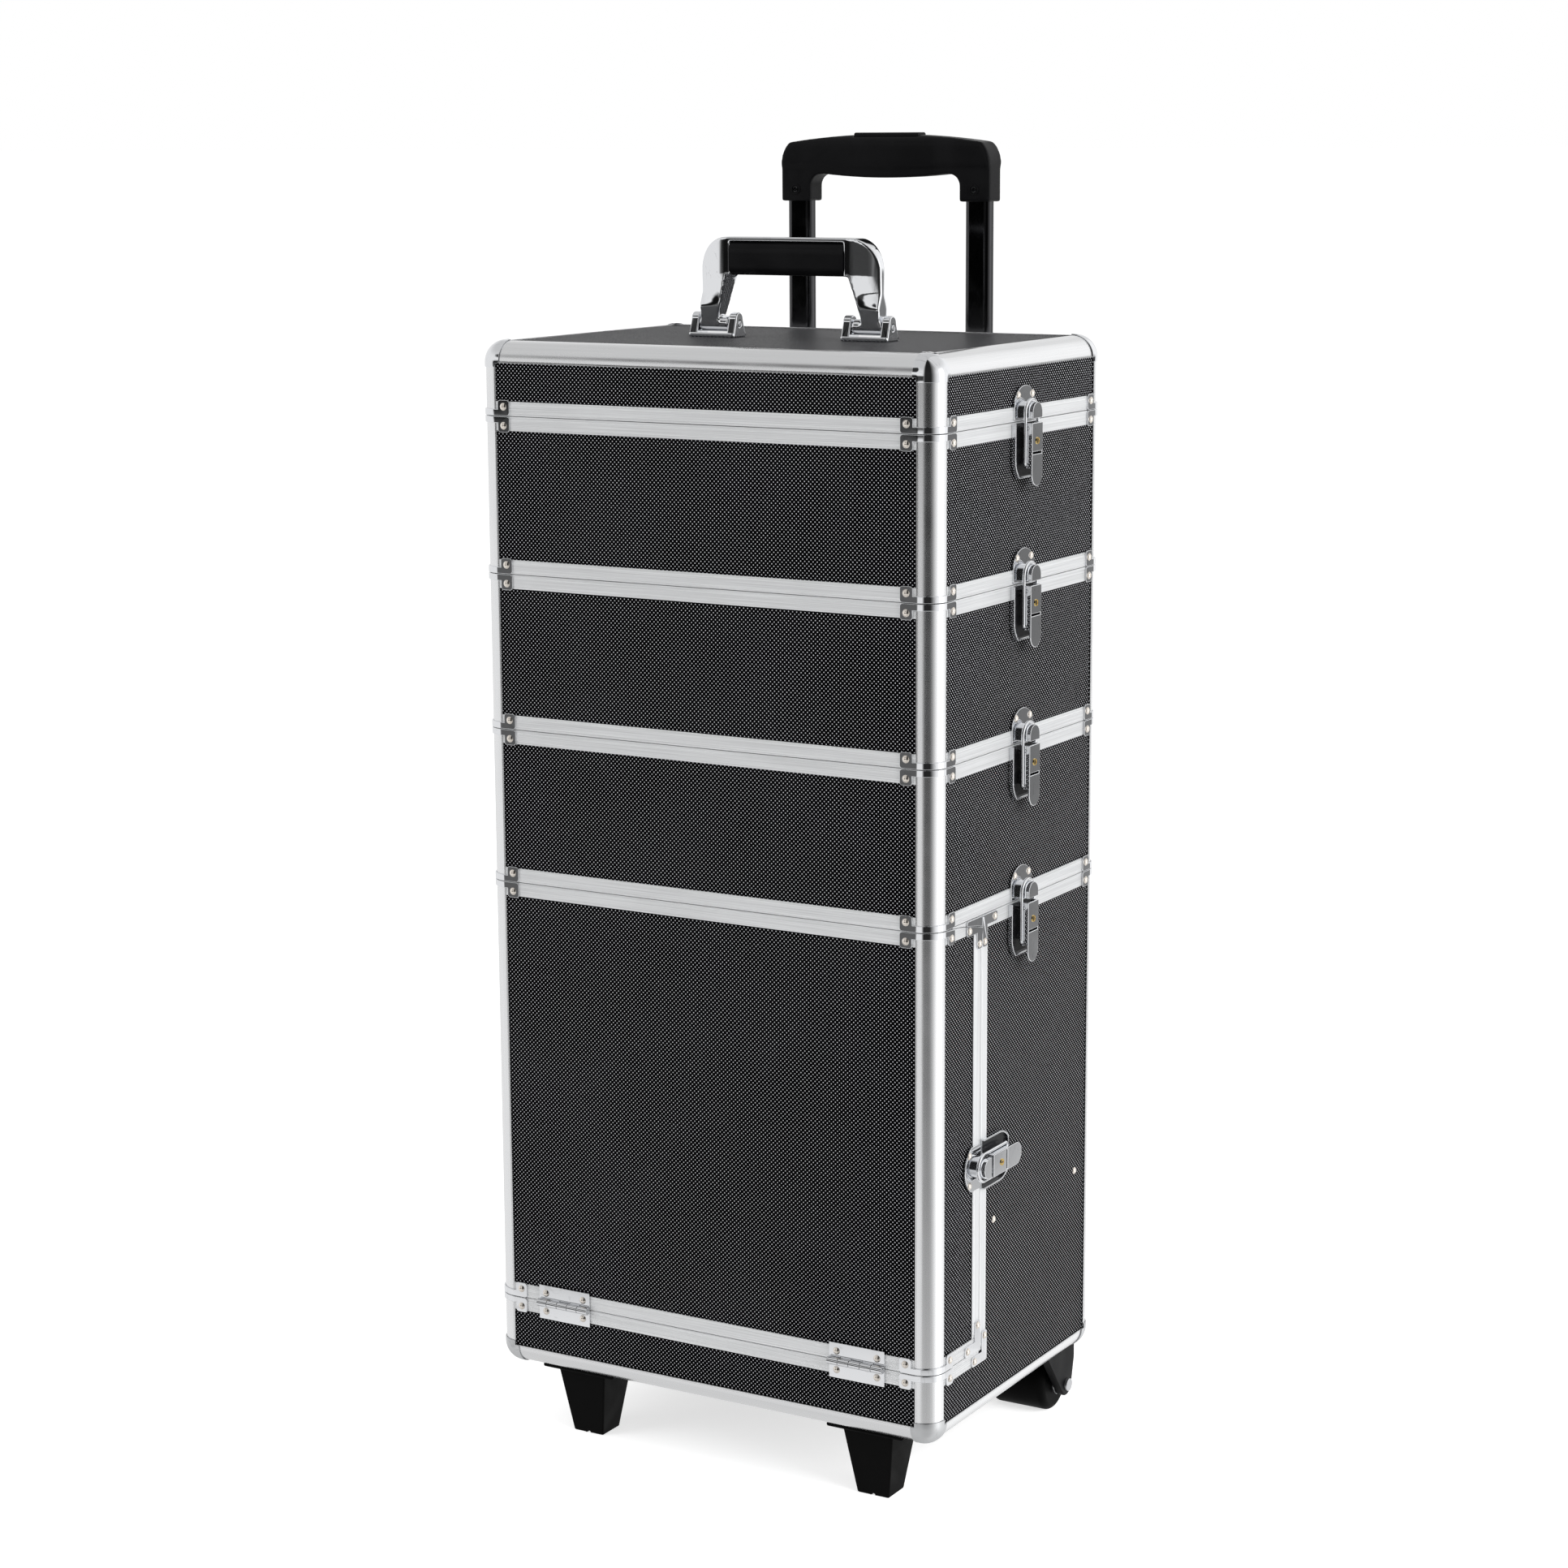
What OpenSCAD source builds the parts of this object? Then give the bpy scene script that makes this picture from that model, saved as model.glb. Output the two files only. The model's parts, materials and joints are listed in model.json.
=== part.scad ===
// Rolling make-up case: a lid and three lift-off tiers stacked on a wheeled base with a drop-down door.
// The front is -Y, X runs across the case, and Z = 0 is the floor that the feet and rollers stand on.

/* [Case] */
// Width across the corner posts
case_w = 340; // [320:1:380]
// Depth across the corner posts
case_d = 237; // [225:1:280]
// Height of the fixed sill below the door
sill_h = 49.5; // [46:0.5:70]
// Height of the drop-down door
door_h = 292; // [270:1:340]
// Depth of the door's side returns
door_return = 63; // [56:1:72]
// Height of each lift-off tier
tier_h = 104; // [95:1:140]
// Height of the lid
lid_h = 48.5; // [46:0.5:70]

/* [Panels and profiles] */
// Radius of the corner posts and edge profiles
corner_r = 14; // [12:0.5:16]
// Wall of the aluminium profiles
profile_t = 1.3; // [1:0.1:1.6]
// Thickness of the laminated panels
panel_t = 4; // [3:0.5:5]
// Height of a mouth strip on one side of a joint
strip_h = 9.4; // [8.5:0.1:11]
// Thickness of a mouth strip's outer leg
strip_skin = 0.8; // [0.6:0.1:1.2]
// Height of the locating tongue above a joint
tongue_h = 5; // [3:0.5:7]
// Gap between the locating tongue and the strip that it enters
tongue_gap = 0.5; // [0.4:0.1:1]
// Overlap of a corner cap on each profile
cap_lap = 3; // [2:0.5:5]
// Thickness of a corner cap over the profiles
cap_t = 0.7; // [0.5:0.1:1]

/* [Corner clips and plates] */
// Thickness of the clips and joint plates
clip_t = 1; // [0.8:0.1:1.4]
// Height of the strap round a post
strap_h = 4.3; // [3.5:0.1:5]
// Length of a clip's tab on each face
tab_l = 11; // [9:0.5:13]
// Height of a clip's tab
tab_h = 10.4; // [9.4:0.1:12]
// Height of a tab's rivet above the joint
tab_rivet_z = 6; // [5:0.1:6.4]
// Neck between the post and the full height of a tab
tab_neck = 2; // [1.5:0.1:3]
// Corner radius of the tabs and joint plates
tab_r = 2; // [1:0.1:2.5]
// Diameter of a rivet's head
rivet_d = 5; // [4:0.1:6]
// Height of a rivet's head
rivet_h = 1.3; // [1:0.1:1.8]
// Width of a joint plate along its strip
plate_w = 7; // [6.5:0.1:8.5]
// Length of a joint plate's arms
plate_l = 21; // [18:0.5:24]

/* [Door hinges] */
// Distance from a hinge's centre to the side of the case
hinge_in = 56; // [50:1:70]
// Width of a hinge
hinge_w = 41; // [35:1:48]
// Height of one leaf
leaf_h = 12; // [11:0.5:14]
// Thickness of a leaf
leaf_t = 1.2; // [1:0.1:1.5]
// Outer radius of a knuckle
knuckle_r = 2.6; // [2.4:0.1:3]
// Radius of a hinge pin
hinge_pin_r = 1.2; // [1:0.1:1.4]

/* [Draw latches] */
// Thickness of a latch's plates
latch_t = 1.2; // [1:0.1:1.5]
// Distance of a latch's face from the case
latch_out = 10; // [9.5:0.1:12]
// Width of a strike plate
strike_w = 30; // [27:0.5:34]
// Height of a strike plate's round top above the joint
strike_top = 23; // [21:0.5:27]
// Distance from the joint to the strike's hook
hook_foot = 2.2; // [2:0.1:2.6]
// Height of the hook's round top above the joint
hook_top = 12.4; // [11:0.1:14]
// Width of the hook
hook_w = 13.6; // [12:0.1:14.2]
// Width of the lever's lock plate
lock_w = 15.2; // [14.8:0.1:17]
// Distance from the joint to the slot between lock plate and thumb tongue
lock_end = 19; // [17:0.5:21]
// Height of that slot
slot_h = 1.4; // [1:0.1:2]
// Distance from the joint to the end of the thumb tongue
tongue_end = 41; // [39:0.5:46]
// Gap between a joint and the lever and pan below it
lever_gap = 0.6; // [0.4:0.1:1]
// Distance from the joint to the lever's pivot
pivot_drop = 4; // [3.8:0.1:4.6]
// Distance of the lever's pivot behind the latch's face
pivot_in = 3.5; // [3.3:0.1:4]
// Radius of the lever's pin
lever_pin_r = 1; // [0.8:0.1:1.2]
// Distance of the bail's pivot behind the lever's pivot, which keeps the latch shut
over_centre = 0.9; // [0.6:0.1:1.2]
// Distance from the joint to the bail's pivot on the lever
bail_drop = 27; // [25:0.5:30]
// Diameter of the bail's wire
bail_wire = 2.2; // [1.8:0.1:2.4]
// Width of the pan under the lever
pan_w = 34; // [31:0.5:38]
// Distance from the joint to the pan's round end
pan_end = 36; // [34:0.5:40]
// Height of the pan's rim
pan_rim = 3; // [2:0.1:3.4]
// Height of the door latches above the door's hinge line
door_latch_z = 126; // [110:1:150]

/* [Feet and rollers] */
// Height of the feet
foot_h = 50; // [44:1:60]
// Distance from a foot's centre to the side of the case
foot_in = 57.5; // [50:0.5:70]
// Distance from a foot's centre to the front of the case
foot_back = 34; // [30:0.5:45]
// Width of a foot under the case
foot_top_w = 37.5; // [32:0.5:42]
// Width of a foot on the floor
foot_low_w = 23.8; // [18:0.2:28]
// Depth of a foot under the case
foot_top_d = 36.5; // [32:0.5:42]
// Depth of a foot on the floor
foot_low_d = 21; // [16:0.5:26]
// Thickness of the foot flanges and bracket plates
flange_t = 2.5; // [2:0.1:4]
// Margin of a flange around its foot
flange_rim = 10; // [6:0.5:12]
// Radius of the rollers
roller_r = 20; // [17:0.5:22]
// Width of the rollers
roller_w = 43; // [36:0.5:48]
// Distance from a roller's centre to the side of the case
roller_in = 42.5; // [38:0.5:60]
// Distance from the rollers' axle to the rear of the case
axle_back = 14; // [12:0.5:24]
// Radius of the axles
axle_r = 3; // [2.5:0.1:4]
// Thickness of a bracket's arms
arm_t = 6; // [4:0.5:7]
// Reach of a bracket in front of its roller
arm_lead = 12; // [8:0.5:14]
// Height of a bracket's rear edge
arm_edge = 12; // [8:0.5:14]
// Gap between a roller and each arm
arm_gap = 3; // [2:0.5:4]

/* [Trolley handle] */
// Distance from the middle of the case to the middle of each tube
trolley_x = 69.5; // [60:0.5:80]
// Distance from the rear of the case to the middle of the tubes
trolley_off = 15.5; // [15:0.5:20]
// Width of the inner tubes
tube_w = 20; // [18:0.5:22]
// Depth of the inner tubes
tube_d = 10; // [9:0.5:11]
// Wall of the tubes
tube_t = 1.2; // [1:0.1:1.5]
// Length of each tube
tube_l = 322; // [300:1:340]
// Height of each tube above the one around it when pushed in
tube_step = 4; // [3:0.5:6]
// Travel of the middle tubes, all drawn out here
middle_out = 250; // [220:1:255]
// Extension of the inner tubes shown here
inner_out = 214.5; // [150:0.5:225]
// Wall of the tube brackets
bracket_t = 2.5; // [2:0.1:4]
// Height of a tube bracket
bracket_h = 26; // [20:1:34]
// Width of the trolley grip
grip_w = 162; // [160:1:180]
// Height of the trolley grip at its crown
grip_h = 45.5; // [42:0.5:52]
// Thickness of the grip's bar at its crown
grip_bar = 27; // [24:0.5:29]
// Depth of the grip's bar
grip_d = 20; // [18:0.5:24]
// Depth of the grip's sockets
socket_d = 18; // [15:0.5:18]
// Width of the grip's sockets
socket_w = 23; // [22.5:0.5:26]
// Depth of a tube in its socket
socket_h = 24; // [18:0.5:26]
// Length of the push button
button_l = 50; // [40:1:60]
// Width of the push button
button_w = 12; // [9:0.5:14]
// Travel of the push button
button_travel = 4; // [2:0.5:5]

/* [Carry handle] */
// Width of the carry handle
handle_w = 136; // [125:1:150]
// Height of the carry handle above the lid
handle_h = 65.5; // [60:0.5:80]
// Outer corner radius of the carry handle
handle_r = 22; // [16:0.5:26]
// Depth of the carry handle
handle_d = 17; // [15:0.5:19]
// Thickness of the band over the grip
handle_band = 3; // [2.5:0.1:4]
// Length of the black grip
handle_grip_l = 86; // [76:1:92]
// Height of the black grip
handle_grip_h = 22; // [18:0.5:24]
// Width of a leg at its hinge
leg_w = 14; // [11:0.5:16]
// Height of the handle's hinge above the lid
handle_axis_z = 8; // [7.5:0.1:10]
// Radius of the handle's hinge pins
handle_pin_r = 2; // [1.6:0.1:2.4]
// Width of a handle bracket
bracket_w = 35; // [34:0.5:40]
// Thickness of a bracket's ears
ear_t = 6; // [4:0.5:8]
// Height of a bracket's ears
ear_h = 16.5; // [15:0.5:20]
// Depth of a bracket
bracket_d = 18; // [16:0.5:24]
// Thickness of a bracket's plate
bracket_plate = 3; // [2:0.1:3.2]

/* [Drawer] */
// Height of the drawer rails above the door's hinge line
rail_z = 82.5; // [75:0.5:110]
// Height of a drawer rail
rail_h = 20; // [16:0.5:26]
// Depth of a drawer rail from its wall
rail_d = 9; // [8:0.5:12]
// Height of the drawer
drawer_h = 80; // [60:1:90]
// Distance of the drawer's floor below the rails' middle
drawer_drop = 22; // [19:0.5:26]
// Thickness of the drawer's walls
drawer_t = 4; // [3:0.5:6]
// Distance of the front rail screws from the rails' ends
screw_front = 12; // [8:0.5:20]
// Distance of the rear rail screws from the rails' ends
screw_rear = 15; // [8:0.5:25]
// Distance of the drawer's front behind the base's edge
drawer_set = 6; // [4:0.5:12]

/* [Clearances] */
// Gap at each joint between the stacked pieces
joint_gap = 0.4; // [0.3:0.05:0.6]
// Gap between pieces that seat on each other
fit = 0.1; // [0.05:0.01:0.15]
// Radial clearance of turning pins
run_gap = 0.05; // [0.03:0.01:0.08]
// Clearance of sliding pieces
slide_gap = 0.35; // [0.25:0.05:0.5]

/* [Hidden] */
$fn = 64;
hw = case_w / 2;
hd = case_d / 2;
panel_in = strip_skin + fit;
seat = panel_in + panel_t + fit + profile_t;
floor_lift = joint_gap / 2 + tongue_h + 1;

z_bottom = foot_h;
z_door = z_bottom + sill_h;
z_tier = [for (i = [0:3]) z_door + door_h + i * tier_h];
z_top = z_tier[3] + lid_h;
door_joint = -hd + door_return;

knuckle_off = knuckle_r + slide_gap + fit;
mouth_h = door_h - joint_gap / 2;
spur_tip = -hd - knuckle_off + sqrt(pow(door_h + joint_gap, 2) - pow(mouth_h - profile_t / 2, 2));
plate_reach = door_return + knuckle_off - joint_gap / 2 - plate_l + plate_w / 2;
plate_cut = mouth_h - sqrt(pow(door_h, 2) - pow(plate_reach, 2));
plate_widen = plate_cut + rivet_d / 2 + slide_gap - plate_w / 2;
pivot_out = latch_out - pivot_in;
bail_out = pivot_out - over_centre;
bail_bend = slide_gap + bail_wire / 2;
bail_r = lock_w / 2 + bail_bend;
bail_arc = hook_top + bail_bend - bail_r;

middle_w = tube_w + 2 * (tube_t + slide_gap);
middle_d = tube_d + 2 * (tube_t + slide_gap);
outer_w = middle_w + 2 * (tube_t + slide_gap);
outer_d = middle_d + 2 * (tube_t + slide_gap);
trolley_y = hd + trolley_off;
outer_low = z_bottom + corner_r + bracket_t + 1;
middle_low = outer_low + tube_step + middle_out;
inner_low = middle_low + tube_step + inner_out;
grip_low = inner_low + tube_l - socket_h;

rail_x = hw - panel_in - panel_t - fit;
drawer_hw = rail_x - rail_d - slide_gap;
drawer_front = door_joint + drawer_set;
rail_front = door_joint + joint_gap / 2 + strip_h + slide_gap;
drawer_back = hd - seat - 8;
drawer_low = z_door + rail_z - drawer_drop;

foot_x = hw - foot_in;
foot_y = -hd + foot_back;
roller_x = hw - roller_in;
axle_y = hd - axle_back;
arm_in = roller_w / 2 + arm_gap;

handle_axis = z_top + handle_axis_z;
bracket_x = handle_w / 2 - leg_w / 2 - 3;

front_reach = hd + knuckle_off + knuckle_r;
rear_reach = trolley_y + max(outer_d / 2 + fit + bracket_t, grip_d / 2);
case_y = (front_reach - rear_reach) / 2;

SIDES = ["left", "right"];
LATCHES = ["lid", "tier1", "tier2", "tier3", "door"];

// Placing

// The whole case, moved so that the row's origin is under the middle of its box
module at_case() {
    translate([0, case_y, 0]) children();
}

// One of the four faces: 0 front, 1 right, 2 rear, 3 left, with Y running inwards
module face(k) {
    rotate(90 * k) translate([0, k % 2 == 0 ? -hd : -hw, 0]) children();
}

// Half of the clear length between two corner posts
function half_run(k) = (k % 2 == 0 ? hw : hd) - corner_r - fit;

module flip_x(on) {
    if (on) mirror([1, 0, 0]) children();
    else children();
}

module flip_y(on) {
    if (on) mirror([0, 1, 0]) children();
    else children();
}

module flip_z(on) {
    if (on) mirror([0, 0, 1]) children();
    else children();
}

module both_sides() {
    for (left = [false, true]) flip_x(left) children();
}

// The centres of the corner posts at the front, the rear or both
module corners(fronts = [false, true]) {
    for (left = [false, true], front = fronts)
        flip_x(left) flip_y(front) translate([hw - corner_r, hd - corner_r, 0]) children();
}

// A latch's own frame: X out of the case, Z from the lever to the strike, origin on the joint
module at_latch(name, left) {
    i = search([name], LATCHES)[0];
    flip_x(left) {
        if (i < 4) translate([hw + fit, 0, z_tier[3 - i]]) children();
        else translate([hw + fit, door_joint, z_door + door_latch_z]) rotate([90, 0, 0]) children();
    }
}

// Sections

// A plate outline standing on the X axis, with rounded corners
module rounded(w, h, r) {
    translate([r - w / 2, 0]) square([w - 2 * r, h]);
    translate([-w / 2, r]) square([w, h - 2 * r]);
    for (x = [r - w / 2, w / 2 - r], y = [r, h - r]) translate([x, y]) circle(r);
}

// A flat tube's outline
module obround(w, d) {
    square([w - d, d], center = true);
    for (x = [-1, 1]) translate([x * (w - d) / 2, 0]) circle(d / 2);
}

module tube_section(w, d) {
    difference() {
        obround(w, d);
        obround(w - 2 * tube_t, d - 2 * tube_t);
    }
}

// Quarter-round profile about its centre, with a web at each end for the panel to butt on
module post_section() {
    difference() {
        intersection() {
            circle(corner_r);
            square(corner_r);
        }
        circle(corner_r - profile_t);
    }
    translate([corner_r - seat, 0]) square([seat, profile_t]);
    translate([0, corner_r - seat]) square([profile_t, seat]);
}

// Channel that caps a panel's edge: X into the case, Y away from the joint
module strip_section(tongue) {
    square([strip_skin, strip_h]);
    square([seat, profile_t]);
    translate([seat - profile_t, 0]) square([profile_t, strip_h]);
    if (tongue) {
        translate([seat - profile_t, 0]) square([2 * profile_t + tongue_gap, profile_t]);
        translate([seat + tongue_gap, -tongue_h]) square([profile_t, tongue_h + profile_t]);
    }
}

// Profiles and panels

// A mouth strip along a face, above or below the joint at height z
module strip(x0, x1, z, up, tongue = false) {
    translate([(x0 + x1) / 2, 0, z]) flip_z(!up) translate([0, 0, joint_gap / 2])
        rotate([90, 0, 90]) linear_extrude(x1 - x0, center = true) strip_section(tongue);
}

// The full block of the strip below the door's upper joint, on a side face
module joint_band(x0, x1) {
    translate([x0, 0, z_tier[0] - joint_gap / 2 - strip_h]) cube([x1 - x0, seat, strip_h]);
}

// An upright strip beside the joint at x, to its right or left
module upright_strip(x, z0, z1, right) {
    translate([x, 0, z0]) flip_x(!right) translate([joint_gap / 2, 0, 0])
        linear_extrude(z1 - z0) mirror([1, -1]) strip_section(false);
}

// A quarter-round profile along a face's top or bottom edge
module edge_profile(k, z, top) {
    face(k) translate([0, corner_r, z]) flip_z(!top)
        rotate([90, 0, 90]) linear_extrude(2 * half_run(k), center = true) mirror([1, 0]) post_section();
}

module posts(z0, z1, fronts = [false, true]) {
    corners(fronts) translate([0, 0, z0]) linear_extrude(z1 - z0) post_section();
}

// An upright panel between x0 and x1 on a face
module panel(x0, x1, z0, z1) {
    translate([x0, panel_in, z0]) cube([x1 - x0, panel_t, z1 - z0]);
}

// A panel on each face from edge to edge
module wall_panels(z0, z1, faces = [0:3]) {
    for (k = faces) face(k) panel(-half_run(k), half_run(k), z0, z1);
}

// A corner cap about the centre of three meeting profiles
module corner_cap() {
    shell_r = corner_r + fit;
    difference() {
        intersection() {
            sphere(shell_r + cap_t);
            cube(2 * corner_r);
        }
        sphere(corner_r - profile_t);
    }
    collar_turns = [[0, 0, 0], [90, 0, 90], [-90, -90, 0]];
    for (turn = collar_turns) rotate(turn) translate([0, 0, -cap_lap]) difference() {
        intersection() {
            cylinder(h = cap_lap, r = shell_r + cap_t);
            cube(2 * corner_r);
        }
        translate([0, 0, -1]) cylinder(h = cap_lap + 2, r = shell_r);
    }
}

// Fittings

// A domed rivet head, seated on Z = 0
module rivet() {
    dome_r = (pow(rivet_d / 2, 2) + pow(rivet_h, 2)) / (2 * rivet_h);
    rotate_extrude() intersection() {
        translate([0, rivet_h - dome_r]) circle(dome_r);
        square([rivet_d, rivet_h]);
    }
}

// A tab's outline from the post outwards, standing on the joint
module tab_outline() {
    square([tab_neck + tab_r, strap_h]);
    translate([(tab_neck + tab_l) / 2, 0]) rounded(tab_l - tab_neck, tab_h, tab_r);
}

module clip_tab() {
    translate([0, corner_r + fit + clip_t, 0])
        rotate([90, 0, 0]) linear_extrude(clip_t) mirror([1, 0]) tab_outline();
}

module tab_rivet() {
    translate([-(tab_l + tab_neck) / 2, corner_r + 2 * fit + clip_t, tab_rivet_z])
        rotate([-90, 0, 0]) rivet();
}

// A clip round a post: a strap with a riveted tab on each face, above or below the joint
module clip(up) {
    flip_z(!up) translate([0, 0, joint_gap / 2]) {
        rotate_extrude(angle = 90) translate([corner_r + fit, 0]) square([clip_t, strap_h]);
        for (turn = [false, true]) {
            if (turn) mirror([1, -1, 0]) clip_tab();
            else clip_tab();
            if (turn) mirror([1, -1, 0]) tab_rivet();
            else tab_rivet();
        }
    }
}

module clips(z, up, fronts = [false, true]) {
    corners(fronts) translate([0, 0, z]) clip(up);
}

// An angle plate on the right face with its corner at the origin, arms along +X and +Z, the first one widened
module angle_plate(widen = 0) {
    translate([0, -fit, 0]) rotate([90, 0, 0]) linear_extrude(clip_t) {
        translate([plate_l / 2, 0]) rounded(plate_l, plate_w + widen, tab_r);
        translate([plate_w / 2, 0]) rounded(plate_w, plate_l, tab_r);
    }
}

// The plate's two rivets
module plate_rivets(widen = 0) {
    for (at = [[plate_l - plate_w / 2, plate_w / 2 + widen], [plate_w / 2, plate_l - plate_w / 2]])
        translate([at[0], -2 * fit - clip_t, at[1]]) rotate([90, 0, 0]) rivet();
}

// The upper corner of the door's side joint, on the door's side or the base's
module at_upper_joint(door) {
    face(1) translate([door_joint + (door ? -1 : 1) * joint_gap / 2, 0, z_tier[0] - joint_gap / 2])
        flip_z(true) flip_x(door) children();
}

// The space that the door sweeps about its hinge line, drawn out by a gap
module door_swing(gap = 0) {
    translate([0, -hd - knuckle_off, z_door]) rotate([0, 90, 0])
        cylinder(h = 2 * case_w, r = door_h + gap, center = true, $fn = 720);
}

// Angle plates that tie the strips at the door's side joint: the door's two
module door_plates() {
    at_upper_joint(true) plate_rivets(plate_widen);
    intersection() {
        at_upper_joint(true) angle_plate(plate_widen);
        door_swing();
    }
    face(1) translate([door_joint - joint_gap / 2, 0, z_door + joint_gap / 2]) flip_x(true) {
        angle_plate();
        plate_rivets();
    }
}

// The base's two, and the corner of the door's upper plate that stays behind on the spur
module base_plates() {
    at_upper_joint(false) {
        angle_plate();
        plate_rivets();
    }
    difference() {
        at_upper_joint(true) angle_plate(plate_widen);
        door_swing(joint_gap);
    }
    face(1) translate([door_joint + joint_gap / 2 + strip_h, 0, z_door - joint_gap / 2 - strip_h]) flip_x(true) {
        angle_plate();
        plate_rivets();
    }
}

// Strike plate with a round top, its two rivets and the hook that the bail goes round
module latch_strike() {
    plate_foot = 1;
    rivet_y = strike_w / 2 - rivet_d;
    rivet_z = strike_top - strike_w / 2 + 9;
    rotate([90, 0, 90]) linear_extrude(latch_t) intersection() {
        translate([0, plate_foot]) rounded(strike_w, strike_top - plate_foot, tab_r);
        translate([0, strike_top - strike_w / 2 - 2]) circle(strike_w / 2 + 2);
    }
    rotate([90, 0, 90]) linear_extrude(latch_out) {
        intersection() {
            translate([0, hook_top - hook_w / 2]) circle(hook_w / 2);
            translate([-hook_w / 2, hook_foot]) square([hook_w, hook_top]);
        }
        translate([-hook_w / 2, hook_foot]) square([hook_w, hook_top - hook_w / 2 - hook_foot]);
    }
    for (side = [-1, 1])
        translate([latch_t + fit, side * rivet_y, rivet_z]) rotate([0, 90, 0]) rivet();
}

// The pan's outline, drawn in by a margin, with its straight end raised: X across, Y towards the strike
module pan_outline(margin, raise = 0) {
    end_r = pan_w / 2 - 4;
    translate([0, end_r - pan_end]) intersection() {
        circle(end_r + 4 - margin);
        translate([-pan_w, margin - end_r]) square([2 * pan_w, 2 * pan_w]);
    }
    translate([margin - pan_w / 2, end_r - pan_end])
        square([pan_w - 2 * margin, pan_end - end_r - lever_gap - margin + raise]);
}

// The lever's pivot line, across the latch
module at_pivot() {
    translate([pivot_out, 0, -pivot_drop]) rotate([90, 0, 0]) children();
}

// Pan with a raised rim, the lug that carries the lever, and the lever's pin
module latch_pan() {
    lug_w = lock_w - 2 * (latch_t + 1);
    lug_r = pivot_in - latch_t - slide_gap;
    web_top = 0.4;
    rotate([90, 0, 90]) {
        linear_extrude(latch_t) pan_outline(0);
        linear_extrude(pan_rim) difference() {
            pan_outline(0);
            pan_outline(latch_t, 2 * latch_t);
        }
    }
    difference() {
        union() {
            at_pivot() cylinder(h = lug_w, r = lug_r, center = true);
            translate([0, -lug_w / 2, -pivot_drop - lug_r]) cube([pivot_out, lug_w, lug_r + web_top]);
        }
        at_pivot() cylinder(h = pan_w, r = lever_pin_r + run_gap, center = true);
    }
    at_pivot() cylinder(h = lock_w - 2 * fit, r = lever_pin_r, center = true);
}

// Lever: the lock plate and thumb tongue, folded into two cheeks that carry the pin and the bail
module latch_lever() {
    tip_r = lock_w / 2;
    slot_w = lock_w - 2 * latch_t;
    difference() {
        union() {
            translate([latch_out - latch_t, 0, 0]) rotate([90, 0, 90]) linear_extrude(latch_t) difference() {
                union() {
                    translate([-lock_w / 2, tip_r - tongue_end])
                        square([lock_w, tongue_end - tip_r - lever_gap]);
                    translate([0, tip_r - tongue_end]) circle(tip_r);
                }
                translate([-slot_w / 2, -lock_end - slot_h]) square([slot_w, slot_h]);
            }
            for (side = [-1, 1]) translate([0, (side * (lock_w - latch_t) + latch_t) / 2, 0])
                rotate([90, 0, 0]) linear_extrude(latch_t) lever_cheek();
        }
        at_pivot() cylinder(h = pan_w, r = lever_pin_r + run_gap, center = true);
        translate([bail_out, 0, -bail_drop]) rotate([90, 0, 0])
            cylinder(h = pan_w, r = bail_wire / 2 + run_gap, center = true);
    }
}

// One cheek, seen from the side: X out of the case, Y towards the strike
module lever_cheek() {
    top = lever_gap;
    boss = bail_wire / 2 + 1.3;
    back = pivot_out - 2.4;
    translate([bail_out, -bail_drop]) circle(boss);
    polygon([[latch_out - latch_t / 2, -top], [latch_out - latch_t / 2, -bail_drop - boss],
        [bail_out, -bail_drop - boss], [bail_out - boss, -bail_drop],
        [back, -pivot_drop - 4], [back, -top - 1], [back + 1, -top]]);
}

// Bail: one bent wire round the hook, with its ends turned in through the lever's cheeks
module latch_bail() {
    end_y = lock_w / 2 - latch_t - fit;
    translate([bail_out, 0, 0]) {
        translate([0, 0, bail_arc]) rotate([90, 0, 90]) rotate_extrude(angle = 180)
            translate([bail_r, 0]) circle(bail_wire / 2);
        for (side = [0, 1]) flip_y(side == 1) {
            translate([0, bail_r, bail_bend - bail_drop])
                cylinder(h = bail_arc + bail_drop - bail_bend, r = bail_wire / 2);
            translate([0, bail_r - bail_bend, bail_bend - bail_drop]) rotate([0, 90, 0])
                rotate_extrude(angle = 90) translate([bail_bend, 0]) circle(bail_wire / 2);
            translate([0, bail_r - bail_bend, -bail_drop]) rotate([90, 0, 0])
                cylinder(h = bail_r - bail_bend - end_y, r = bail_wire / 2);
        }
    }
}

// Lift-off tiers

module tier_panels(i) {
    z0 = z_tier[3 - i];
    color("#1c1c1e") at_case() {
        inset = joint_gap / 2 + profile_t + fit;
        wall_panels(z0 + inset, z0 + tier_h - inset);
        floor_w = case_w - 2 * (seat + fit);
        floor_d = case_d - 2 * (seat + fit);
        translate([-floor_w / 2, -floor_d / 2, z0 + floor_lift]) cube([floor_w, floor_d, panel_t]);
    }
}

module tier_frame(i) {
    z0 = z_tier[3 - i];
    z1 = z0 + tier_h;
    color("#c9cbcd") at_case() {
        posts(z0 + joint_gap / 2, z1 - joint_gap / 2);
        for (k = [0:3]) face(k) {
            strip(-half_run(k), half_run(k), z0, true);
            strip(-half_run(k), half_run(k), z1, false, true);
        }
    }
}

module tier_fittings(i) {
    z0 = z_tier[3 - i];
    color("#dfe1e4") at_case() {
        clips(z0, true);
        clips(z0 + tier_h, false);
        for (left = [false, true]) {
            at_latch(LATCHES[i], left) latch_strike();
            at_latch(LATCHES[i - 1], left) latch_pan();
        }
    }
}

// Lid

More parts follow.
